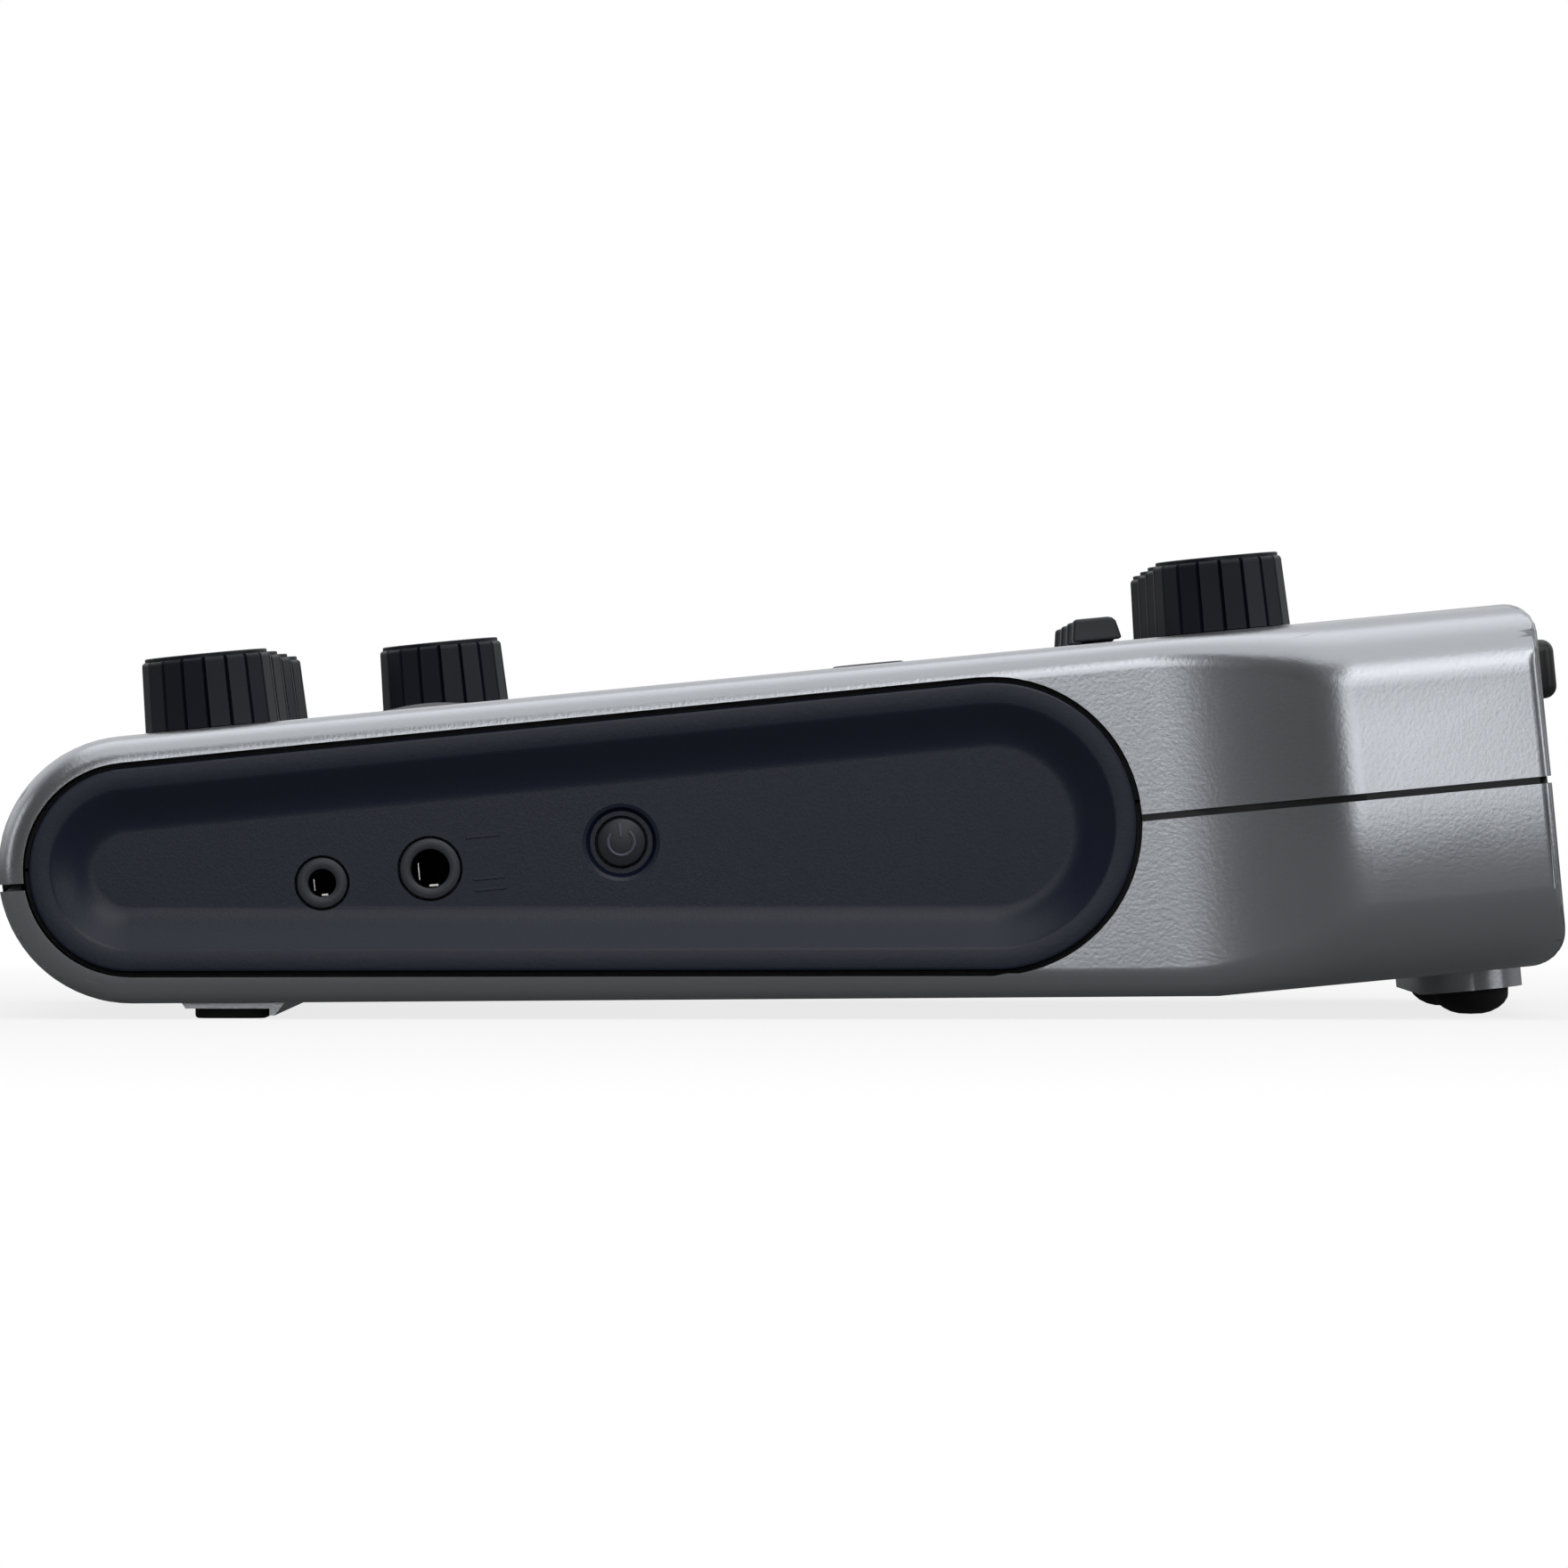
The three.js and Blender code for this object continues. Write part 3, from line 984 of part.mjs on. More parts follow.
// Release tabs over the sockets, with a dished thumb face
const LATCH_LENGTH = 11;
const LATCH_ROUND = 0.8;
const LATCH_DISH = 0.6;
const LATCH_DISH_STEPS = 6;
const latchFace = LATCH_PROUD - REAR_STEP;
const latchDishHalf = LATCH_HEIGHT / 2 - LATCH_ROUND;
const latchBody = prism('x', [
  [latchFace - LATCH_LENGTH, -LATCH_HEIGHT / 2],
  ...arc([latchFace - LATCH_ROUND, LATCH_ROUND - LATCH_HEIGHT / 2], LATCH_ROUND, -RIGHT_ANGLE, 0,
    CORNER_STEPS),
  ...Array.from({ length: LATCH_DISH_STEPS - 1 }, (_, i) => {
    const share = 2 * (i + 1) / LATCH_DISH_STEPS - 1;
    return [latchFace - LATCH_DISH * (1 - share ** 2), latchDishHalf * share];
  }),
  ...arc([latchFace - LATCH_ROUND, LATCH_HEIGHT / 2 - LATCH_ROUND], LATCH_ROUND, 0, RIGHT_ANGLE,
    CORNER_STEPS),
  [latchFace - LATCH_LENGTH, LATCH_HEIGHT / 2],
], -LATCH_WIDTH / 2, LATCH_WIDTH / 2).intersect(prism('z',
  roundedOutline(halfSpan(LATCH_WIDTH), [latchFace - LATCH_LENGTH - OVERRUN, latchFace + LATCH_DISH],
    LATCH_ROUND),
  -LATCH_HEIGHT, LATCH_HEIGHT));
channels.forEach((step, i) => place(deck, `xlr_latch_${i + 1}`, latchBody, BLACK_PLASTIC,
  step * channelPitch, rearFace, -LATCH_DEPTH));

// Headphone sockets in the nose, soldered under the front of the control board
const JACK_HALF = 3.1;
const JACK_HALF_WIDTH = 4;
const JACK_LENGTH = 12.5;
const JACK_BORE_RADIUS = 1.925;
const JACK_BORE_DEPTH = 11;
const NOSE_COLLAR_SUNK = 0.7;
const noseJackTop = CLEARANCE - (CONTROL_BOARD_DEPTH + BOARD_THICKNESS) + NOSE_JACK_DEPTH - 2 * CLEARANCE;
const noseJackDrop = NOSE_JACK_DEPTH + JACK_HALF - NOSE_RADIUS;
const noseJackFront = -Math.sqrt((NOSE_RADIUS - WALL - 2 * CLEARANCE) ** 2 - noseJackDrop ** 2);
const noseJackFace = noseTip + NOSE_COLLAR_SUNK;
const noseJack = cut(
  join(
    block(halfSpan(2 * JACK_HALF_WIDTH), [noseJackFront, noseJackFront + JACK_LENGTH],
      [-JACK_HALF, noseJackTop]),
    rod('y', NOSE_COLLAR_RADIUS, noseJackFace, noseJackFront + WALL, [0, 0], KEY_SIDES),
  ),
  rod('y', JACK_BORE_RADIUS, noseJackFace - OVERRUN, noseJackFace + JACK_BORE_DEPTH, [0, 0], SMALL_SIDES),
);
channels.forEach((step, i) => place(deck, `phones_jack_${i + 1}`, noseJack, BLACK_PLASTIC,
  step * phonesPitch, 0, -NOSE_JACK_DEPTH));

// Side sockets, standing on the main board with their collars through the pocket floor and the panel, and
// no longer than the room beside the cell contacts
const CONTACT_WIDTH = 4;
const CONTACT_FOOT = 2;
const SIDE_JACK_WALL = 0.3;
const SIDE_JACK_LENGTH = 12;
const boardNotch = bayHalfWidth + BAY_WALL + CLEARANCE;
const sideJackLength = Math.min(SIDE_JACK_LENGTH, powerFlangeX - boardNotch - CONTACT_FOOT - CLEARANCE);
for (const [name, sidePlace] of Object.entries(sidePlaces)) {
  const centre = levelPoint(sidePlace);
  const half = sidePlace.collar + SIDE_JACK_WALL;
  const bodyEnd = powerFlangeX;
  const body = cut(
    join(
      block([bodyEnd - sideJackLength, bodyEnd], [-half, half],
        [mainBoardTop + CLEARANCE - centre.z, half]),
      rod('x', sidePlace.collar, bodyEnd - WALL, dishFloorX, [0, 0], KEY_SIDES),
    ),
    rod('x', sidePlace.bore, dishFloorX - sideJackLength, dishFloorX + OVERRUN, [0, 0], SMALL_SIDES),
  );
  place(recorder, name, body, BLACK_PLASTIC, 0, centre.y, centre.z);
}

// Power button in its well, over a switch that stands on the main board
const POWER_FLANGE = 0.7;
const POWER_STEM_RADIUS = 1.2;
const powerCentre = levelPoint(powerPlace);
place(recorder, 'power_button', join(
  rod('x', POWER_CAP_RADIUS, powerFlangeX - POWER_FLANGE, dishFloorX, [0, 0], KEY_SIDES),
  rod('x', POWER_CAP_RADIUS + 3 * CLEARANCE, powerFlangeX - POWER_FLANGE, powerFlangeX, [0, 0], KEY_SIDES),
  rod('x', POWER_STEM_RADIUS, powerStemEnd, powerFlangeX, [0, 0], SMALL_SIDES),
), BLACK_PLASTIC, 0, powerCentre.y, powerCentre.z);

// Ports in the left panel, standing on the main board
const PORT_WALL = 0.35;
const PORT_LENGTH = { usb: 12, card: 16 };
const PORT_BORE_DEPTH = { usb: 6.5, card: 14 };
const PORT_RISER_FROM_CAVITY = 0.6;
for (const [name, portPlace] of Object.entries(portPlaces)) {
  const centre = levelPoint(portPlace);
  const { width, height } = portSizes[name];
  const outer = -dishFloorX;
  const inner = outer + PORT_LENGTH[name];
  const corner = height / 2 - PORT_WALL;
  const body = cut(
    join(
      prism('x', roundedOutline(halfSpan(width), halfSpan(height), corner, SMALL_CORNER_STEPS), outer, inner),
      block([-cavityX + PORT_RISER_FROM_CAVITY, inner], halfSpan(width - PORT_EDGE),
        [mainBoardTop + CLEARANCE - centre.z, 0]),
    ),
    prism('x', roundedOutline(halfSpan(width - 2 * PORT_WALL), halfSpan(height - 2 * PORT_WALL),
      corner - PORT_WALL, SMALL_CORNER_STEPS), outer - OVERRUN, outer + PORT_BORE_DEPTH[name]),
  );
  place(recorder, `${name}_${name === 'usb' ? 'port' : 'slot'}`, body, STEEL, 0, centre.y, centre.z);
}

// Main board with the power switch and the cell contacts standing on it
const CONTACT_THICKNESS = 0.8;
const CONTACT_HEIGHT = 4;
function mainBoard() {
  const notchRear = bayY[1] + BAY_WALL + CLEARANCE;
  const plate = prism('z', [
    [-mainBoardHalf, mainBoardFront],
    [-boardNotch, mainBoardFront],
    [-boardNotch, notchRear],
    [boardNotch, notchRear],
    [boardNotch, mainBoardFront],
    [mainBoardHalf, mainBoardFront],
    [mainBoardHalf, notchRear],
    [mainBoardRearHalf, mainBoardRear],
    [-mainBoardRearHalf, mainBoardRear],
    [-mainBoardHalf, notchRear],
  ], MAIN_BOARD_BOTTOM, mainBoardTop);
  const contactX = CELL_LENGTH / 2 + CELL_NUB_LENGTH + CLEARANCE;
  const contacts = [-1, 1].flatMap((side) => [-1, 1].map((row) => {
    const y = (bayY[0] + bayY[1]) / 2 + row * CELL_PITCH / 2;
    const span = (from, to) => [side * from, side * to].sort((a, b) => a - b);
    return join(
      block(span(boardNotch, boardNotch + CONTACT_FOOT), around(y, CONTACT_WIDTH),
        [MAIN_BOARD_BOTTOM + BOARD_THICKNESS / 2, mainBoardTop + CONTACT_HEIGHT]),
      block(span(contactX, boardNotch + CONTACT_FOOT), around(y, CONTACT_WIDTH),
        [mainBoardTop + CONTACT_HEIGHT - CONTACT_THICKNESS, mainBoardTop + CONTACT_HEIGHT]),
      block(span(contactX, contactX + CONTACT_THICKNESS), around(y, CONTACT_WIDTH),
        [cellZ - CELL_NUB_RADIUS, mainBoardTop + CONTACT_HEIGHT]),
    );
  }));
  const powerSwitch = block([switchFace - SWITCH_BLOCK_DEPTH, switchFace],
    around(powerCentre.y, SWITCH_BLOCK_WIDTH),
    [MAIN_BOARD_BOTTOM + BOARD_THICKNESS / 2, powerCentre.z + SWITCH_BLOCK_WIDTH / 2]);
  return join(plate, powerSwitch, ...contacts);
}
place(recorder, 'main_board', mainBoard(), BOARD);

// Battery door: a plate with a thumb grip, hinged on two pins along its rear barrel
function batteryDoor() {
  const [x0, x1] = grow(bayX, -CLEARANCE);
  const front = bayY[0] + CLEARANCE - hingeY;
  const plate = block([x0, x1], [front, 0], [-DOOR_BARREL_RADIUS, DOOR_THICKNESS - DOOR_BARREL_RADIUS]);
  const barrel = rod('x', DOOR_BARREL_RADIUS, x0, x1, [0, 0], KEY_SIDES);
  const pins = rod('x', DOOR_PIN_RADIUS, x0 - DOOR_PIN_LENGTH, x1 + DOOR_PIN_LENGTH, [0, 0], SMALL_SIDES);
  const grip = block(halfSpan(DOOR_GRIP_WIDTH), around(front + DOOR_GRIP_LENGTH, DOOR_GRIP_LENGTH),
    [-DOOR_BARREL_RADIUS - OVERRUN, DOOR_GRIP_DEPTH - DOOR_BARREL_RADIUS]);
  return cut(join(plate, barrel, pins), grip);
}
place(recorder, 'battery_door', batteryDoor(), BLACK_PLASTIC, 0, hingeY, hingeZ);

for (const [i, row] of [-1, 1].entries()) {
  const y = (bayY[0] + bayY[1]) / 2 + row * CELL_PITCH / 2;
  const nubEnd = row * (CELL_LENGTH / 2 + CELL_NUB_LENGTH);
  const [from, to] = [0, nubEnd].sort((a, b) => a - b);
  place(recorder, `battery_cell_${i + 1}`, join(
    rod('x', CELL_RADIUS, -CELL_LENGTH / 2, CELL_LENGTH / 2, [0, 0], KEY_SIDES),
    rod('x', CELL_NUB_RADIUS, from, to, [0, 0], SMALL_SIDES),
  ), CELL, 0, y, cellZ);
}

// Feet: flat rubber pads in the front rib, domed rubber feet in the rear rib
for (const [name, side] of [['left', -1], ['right', 1]]) {
  place(recorder, `front_foot_${name}`,
    prism('z', roundedOutline(footPadX(side), footPadY, FOOT_PAD_CORNER, SMALL_CORNER_STEPS), 0,
      FOOT_PAD_THICKNESS), RUBBER);
  place(recorder, `rear_foot_${name}`, turned([
    [0, 0],
    ...arc([0, 1], 1, -RIGHT_ANGLE, 0, CORNER_STEPS).map(([out, up]) =>
      [THREE.MathUtils.lerp(REAR_FOOT_FLAT_RADIUS, REAR_FOOT_RADIUS, out), REAR_FOOT_DOME * up]),
    [REAR_FOOT_RADIUS, REAR_FOOT_HEIGHT],
    [0, REAR_FOOT_HEIGHT],
  ]), RUBBER, side * REAR_FOOT_SPACING / 2, rearFootY, 0);
}

export default recorder;
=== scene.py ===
import json
import math

import bmesh
import bpy
from mathutils import Matrix, Vector


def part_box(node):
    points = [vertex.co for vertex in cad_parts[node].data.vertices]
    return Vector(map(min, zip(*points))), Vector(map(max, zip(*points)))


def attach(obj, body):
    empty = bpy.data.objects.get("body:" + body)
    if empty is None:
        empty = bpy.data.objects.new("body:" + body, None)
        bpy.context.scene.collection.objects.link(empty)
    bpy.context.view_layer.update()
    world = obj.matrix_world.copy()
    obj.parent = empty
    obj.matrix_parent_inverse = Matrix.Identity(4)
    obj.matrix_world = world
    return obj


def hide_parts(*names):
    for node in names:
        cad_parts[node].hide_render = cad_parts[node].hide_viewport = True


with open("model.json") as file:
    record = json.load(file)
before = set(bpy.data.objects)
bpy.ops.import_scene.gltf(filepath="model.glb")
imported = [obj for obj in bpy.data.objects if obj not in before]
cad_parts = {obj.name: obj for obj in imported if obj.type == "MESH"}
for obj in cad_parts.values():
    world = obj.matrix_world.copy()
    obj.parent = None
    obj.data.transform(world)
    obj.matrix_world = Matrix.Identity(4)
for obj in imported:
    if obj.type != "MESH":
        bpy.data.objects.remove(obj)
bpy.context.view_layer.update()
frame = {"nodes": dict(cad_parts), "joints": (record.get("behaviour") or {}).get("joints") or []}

# Studio. The camera stands a metre and a quarter off the recorder's right side, level with its
# middle, with a long lens. A broad soft lamp hangs above it, two softboxes stand at the camera from its
# level upwards, and a weak strip lights each end, over a pale floor.
CAMERA_PLACE = (1.25, 0.0004, 0.0233)
CAMERA_LENS = 278.0
CAMERA_SENSOR = 36.0
CAMERA_REACH = 20.0
FLOOR_SIZE = 6.0
WORLD_LEVEL = 0.09
HORIZON = 0.12
HORIZON_HEIGHTS = (0.0, 0.3)
BACKDROP_TURNS = (0.25, -0.45)
MIRRORED_FLOOR = 0.08
FLOOR_GLOW = (0.8, 1.0)
SHADED_FLOOR = (0.09, 0.35)
# Each lamp's place, size and power. All face the recorder.
LAMPS = {
    "overhead": ((0.2, 0.0, 1.0), (1.2, 1.4), 5.5),
    "softbox": ((1.35, -0.01, 0.33), (0.46, 0.6), 1.75),
    "softbox_top": ((1.05, 0.24, 0.7), (0.6, 0.4), 2.1),
    "nose_end": ((0.25, -1.15, 0.25), (0.25, 0.8), 0.8),
    "rear_end": ((0.55, 0.95, 0.5), (0.5, 0.9), 2.4),
}


def linear(hex_colour):
    """An sRGB hex colour as linear red, green, blue and alpha."""
    channels = [int(hex_colour[i:i + 2], 16) / 255 for i in (1, 3, 5)]
    return tuple(c / 12.92 if c <= 0.04045 else ((c + 0.055) / 1.055) ** 2.4 for c in channels) + (1.0,)


def add_node(tree, kind, inputs=(), **settings):
    """Adds a node to a tree, with its settings, and with values or links at its inputs."""
    made = tree.nodes.new(kind)
    for key, value in settings.items():
        setattr(made, key, value)
    for key, value in dict(inputs).items():
        if isinstance(value, bpy.types.NodeSocket):
            tree.links.new(value, made.inputs[key])
        else:
            made.inputs[key].default_value = value
    return made


def seen_share(tree, *shares):
    """How much of a pale backdrop rays see: all for the camera's, and the product of the shares for
    those that metal and glass send on."""
    rays = add_node(tree, "ShaderNodeLightPath").outputs
    sent_on = add_node(tree, "ShaderNodeMath", {0: rays["Is Glossy Ray"], 1: rays["Is Transmission Ray"]},
                       operation="MAXIMUM")
    for share in shares:
        sent_on = add_node(tree, "ShaderNodeMath", {0: sent_on.outputs[0], 1: share}, operation="MULTIPLY")
    return add_node(tree, "ShaderNodeMath", {0: rays["Is Camera Ray"], 1: sent_on.outputs[0]},
                    operation="MAXIMUM").outputs[0]


def made_object(name, bm):
    """An object whose mesh is a bmesh, which it frees."""
    mesh = bpy.data.meshes.new(name)
    bm.to_mesh(mesh)
    bm.free()
    made = bpy.data.objects.new(name, mesh)
    scene.collection.objects.link(made)
    return made


scene = bpy.context.scene
scene.view_settings.view_transform = "Standard"

camera = bpy.data.objects.new("camera", bpy.data.cameras.new("camera"))
camera.data.lens = CAMERA_LENS
camera.data.sensor_width = CAMERA_SENSOR
camera.data.clip_end = CAMERA_REACH
camera.location = CAMERA_PLACE
camera.rotation_euler = (math.radians(90), 0, math.radians(90))
scene.collection.objects.link(camera)
scene.camera = camera

for name, (place, size, power) in LAMPS.items():
    light = bpy.data.lights.new(name, "AREA")
    light.shape = "RECTANGLE"
    light.size, light.size_y = size
    light.energy = power
    stand = bpy.data.objects.new(name, light)
    stand.location = place
    stand.rotation_euler = (-Vector(place)).to_track_quat("-Z", "Y").to_euler()
    scene.collection.objects.link(stand)

world = bpy.data.worlds.new("studio")
scene.world = world
world.use_nodes = True
tree = world.node_tree
tree.nodes.clear()
# Metal shows the white backdrop where it mirrors the upper side behind the recorder, and the dimmer
# room where it mirrors the horizon or the camera's side
heading = add_node(tree, "ShaderNodeSeparateXYZ",
                   {0: add_node(tree, "ShaderNodeTexCoord").outputs["Generated"]})
behind = add_node(tree, "ShaderNodeMapRange",
                  dict(enumerate((heading.outputs["X"], *BACKDROP_TURNS, 0.0, 1.0))))
above = add_node(tree, "ShaderNodeMapRange",
                 dict(enumerate((heading.outputs["Z"], *HORIZON_HEIGHTS, HORIZON, 1.0))))
seen = seen_share(tree, behind.outputs[0], above.outputs[0])
room = add_node(tree, "ShaderNodeBackground", {"Color": linear("#ffffff"), "Strength": WORLD_LEVEL})
backdrop = add_node(tree, "ShaderNodeBackground", {"Color": linear("#ffffff"), "Strength": 1.0})
mixed = add_node(tree, "ShaderNodeMixShader", {0: seen, 1: room.outputs[0], 2: backdrop.outputs[0]})
add_node(tree, "ShaderNodeOutputWorld", {"Surface": mixed.outputs[0]})

bm = bmesh.new()
bmesh.ops.create_grid(bm, x_segments=1, y_segments=1, size=FLOOR_SIZE / 2)
floor = made_object("floor", bm)

# Matt white paper: a pale floor that melts into the backdrop and keeps the recorder's soft shadow
floor_paper = bpy.data.materials.new("floor_paper")
floor_paper.use_nodes = True
tree = floor_paper.node_tree
tree.nodes.clear()
# Metal shows the floor dimmer than the camera sees it, because the recorder shades the paper
seen = seen_share(tree, MIRRORED_FLOOR)
paper = add_node(tree, "ShaderNodeBsdfDiffuse", {"Color": linear("#fbfbfb")})
dull = add_node(tree, "ShaderNodeBsdfDiffuse", {"Color": linear("#6c6c6c")})
glow = add_node(tree, "ShaderNodeEmission", {"Color": linear("#ffffff"), "Strength": 1.0})
# The shadow stays on the paper round the recorder, and further out the paper is pure white
away = add_node(tree, "ShaderNodeVectorMath", {0: add_node(tree, "ShaderNodeTexCoord").outputs["Object"]},
                operation="LENGTH")
glow_share = add_node(tree, "ShaderNodeMapRange",
                      dict(enumerate((away.outputs["Value"], *SHADED_FLOOR, *FLOOR_GLOW))))
bright = add_node(tree, "ShaderNodeMixShader",
                  {0: glow_share.outputs[0], 1: paper.outputs[0], 2: glow.outputs[0]})
mixed = add_node(tree, "ShaderNodeMixShader", {0: seen, 1: dull.outputs[0], 2: bright.outputs[0]})
add_node(tree, "ShaderNodeOutputMaterial", {"Surface": mixed.outputs[0]})
floor.data.materials.append(floor_paper)


# Housing. Two moulded ABS half shells, painted silver outside, meet at a parting groove round the middle,
# whose black is painted shade. The waist flares to a wider rear block, and four screws from below draw them
# together.
MM = 0.001
DECK_SLOPE = math.radians(5.45)
DECK_ORIGIN = (0, -0.0655639, 0.0280399)
NOSE_RADIUS = 13.293
REAR_FACE = 140.692
WAIST_HALF = 51.5
REAR_HALF = 56.0
FLARE_START = 101.8
FLARE_LENGTH = 20.5
FLARE_TURN = 0.76
UNDERSIDE_BEND = 106.1
UNDERSIDE_ANGLE = math.radians(5.06)
FRONT_EDGE = 3.0
REAR_TOP_EDGE = 7.0
REAR_BOTTOM_EDGE = 8.0
REAR_CORNERS = {"top": 3.0, "bottom": 3.4, "side": 1.2}
PARTING_DEPTH = 17.7
PARTING_BEND = 99.7
PARTING_FALL = 0.03363
SIDE_CROWN = 1.3
CROWN_REACH = 18.0
CROWN_SHIFT = 4.0
CROWN_FADE = 5.6
SEAM_DEPTH = 0.3
SEAM_ROOT = 0.6
TONGUE_REACH = (0.6, 1.7)
PANEL_FRONT = {"y": 0.0, "z": -13.3, "radius": 10.25}
PANEL_REAR = {"y": 85.4, "z": -17.107, "radius": 14.407}
POCKET_GAP = 0.4
POCKET_FLOOR = 47.9
POCKET_SIDE = 44.0
POCKET_RIM = (0.975, 1.005)
SKIN_REACH = 0.45
SKIN_TURN = 0.6
STANDS_OUT = 0.05
CREASE = 0.4
ROUND_ROWS = 9
FLARE_ROWS = 14
REAR_ROWS = (0.3, 0.7, 1.3, 2.1)
REAR_REACH = 3.5
END_FAN = (-90, 90, 5)
REAR_FAN = 75
REAR_FAN_STEP = 15
SAME_POINT = 4e-6
FLAT_ANGLE = math.radians(0.4)
SHARP_ANGLE = math.radians(38)
CASE_EDGE = 0.16
CLOUD = 25.0
SKIN, BARE, EDGE, RIB = range(4)
AS_BUILT = Matrix()

deck_place = Matrix.Translation(DECK_ORIGIN) @ Matrix.Rotation(DECK_SLOPE, 4, "X") @ Matrix.Scale(MM, 4)
to_deck = deck_place.inverted()
rear_depth = NOSE_RADIUS * (1 + 1 / math.cos(UNDERSIDE_ANGLE)) + UNDERSIDE_BEND * math.tan(UNDERSIDE_ANGLE)
rear_turns = (
    (REAR_FACE - REAR_CORNERS["top"], -REAR_CORNERS["top"], REAR_CORNERS["top"], 1),
    (REAR_FACE - REAR_CORNERS["bottom"], REAR_CORNERS["bottom"] - rear_depth, REAR_CORNERS["bottom"], -1),
)


def surface(name, colour, metallic, roughness, grain, grain_height, patch=0.0, **shader):
    """A Principled material with a fine moulded or sprayed grain, and faint patches in its colour.

    The grain's width and height are in millimetres, and patch is the share by which the colour
    wanders over some centimetres."""
    made = bpy.data.materials.new(name)
    made.use_nodes = True
    tree = made.node_tree
    tree.nodes.clear()
    place = add_node(tree, "ShaderNodeTexCoord").outputs["Object"]
    specks = add_node(tree, "ShaderNodeTexNoise",
                      {"Vector": place, "Scale": 1 / (grain * MM), "Detail": 2.0, "Roughness": 0.6})
    clouds = add_node(tree, "ShaderNodeTexNoise",
                      {"Vector": place, "Scale": 1 / (CLOUD * MM), "Detail": 3.0})
    darker = tuple(c * (1 - patch) for c in linear(colour)[:3]) + (1.0,)
    lighter = tuple(min(c * (1 + patch), 1) for c in linear(colour)[:3]) + (1.0,)
    tone = add_node(tree, "ShaderNodeMix", {0: clouds.outputs["Fac"], 6: darker, 7: lighter},
                    data_type="RGBA")
    relief = add_node(tree, "ShaderNodeBump",
                      {"Height": specks.outputs["Fac"], "Strength": 1.0, "Distance": grain_height * MM})
    shading = add_node(tree, "ShaderNodeBsdfPrincipled",
                       {"Base Color": tone.outputs[2], "Metallic": metallic, "Roughness": roughness,
                        "Normal": relief.outputs["Normal"], **shader})
    add_node(tree, "ShaderNodeOutputMaterial", {"Surface": shading.outputs[0]})
    return made


# Silver two-pack paint with aluminium flake: a satin metal sheen, darker where it turns away from the
# light, with a fine sparkle
silver_paint = surface("silver_flake_paint", "#aaadb2", 0.88, 0.27, 0.4, 0.014, 0.03)
# Black ABS on the shells' unpainted faces, which show only inside the parting groove and behind the holes;
# its black there is painted shade
inside_shade_abs = surface("inside_shade_black_abs", "#121315", 0.0, 0.5, 0.3, 0.01)


def show(name, bm, place, materials, body, nodes, sharp=SHARP_ANGLE):
    """Shows a bmesh, moved to its place, as a piece that stands for CAD nodes and rides on a body."""
    bm.transform(place)
    piece = made_object(name, bm)
    for material in materials:
        piece.data.materials.append(material)
    piece.data.shade_smooth()
    piece.data.set_sharp_from_angle(angle=sharp)
    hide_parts(*nodes)
    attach(piece, body)
    return piece


def flare_at(y):
    """How far the side has flared out at a place along the deck, from 0 at the waist to 1."""
    along = min(max((y - FLARE_START) / FLARE_LENGTH, 0), 1)
    return along ** 2 / FLARE_TURN if along < FLARE_TURN else 1 - (1 - along) ** 2 / (1 - FLARE_TURN)


def flare_slope(y):
    """How fast the side flares out there, per millimetre."""
    along = (y - FLARE_START) / FLARE_LENGTH
    if not 0 < along < 1:
        return 0
    return 2 * (along / FLARE_TURN if along < FLARE_TURN else (1 - along) / (1 - FLARE_TURN)) / FLARE_LENGTH


def flank_at(x, y, z):
    """The nearest place on the nose, deck, sides and underside, and the way out there."""
    side = math.copysign(1, x)
    flare, half_slope = flare_at(y), flare_slope(y) * (REAR_HALF - WAIST_HALF)
    half = WAIST_HALF + (REAR_HALF - WAIST_HALF) * flare
    lean = UNDERSIDE_ANGLE if y < UNDERSIDE_BEND else 0
    floor_depth = (z + rear_depth) * math.cos(lean) - max(UNDERSIDE_BEND - y, 0) * math.sin(UNDERSIDE_ANGLE)
    growth = REAR_TOP_EDGE - FRONT_EDGE
    if y < 0:
        out = Vector((y, z + NOSE_RADIUS))
        depth = NOSE_RADIUS - out.length
        out.normalize()
    elif -z < floor_depth:
        out, depth = Vector((0, 1)), -z
    else:
        out, depth = Vector((-math.sin(lean), -math.cos(lean))), floor_depth
        growth = REAR_BOTTOM_EDGE - FRONT_EDGE
    edge = FRONT_EDGE + growth * flare
    arm = Vector((abs(x) - half + edge, edge - depth))
    if arm.x <= 0:
        arm = Vector((0, 1))
        new_x, new_depth = abs(x), 0
    elif arm.y <= 0:
        arm = Vector((1, 0))
        new_x, new_depth = half, depth
    else:
        arm.normalize()
        new_x, new_depth = half - edge * (1 - arm.x), edge * (1 - arm.y)
    moved = out * (depth - new_depth)
    ahead = growth * flare_slope(y) * (arm.x + arm.y - 1) - half_slope * arm.x
    return (Vector((side * new_x, y + moved.x, z + moved.y)),
            Vector((side * arm.x, out.x * arm.y + ahead, out.y * arm.y)).normalized())


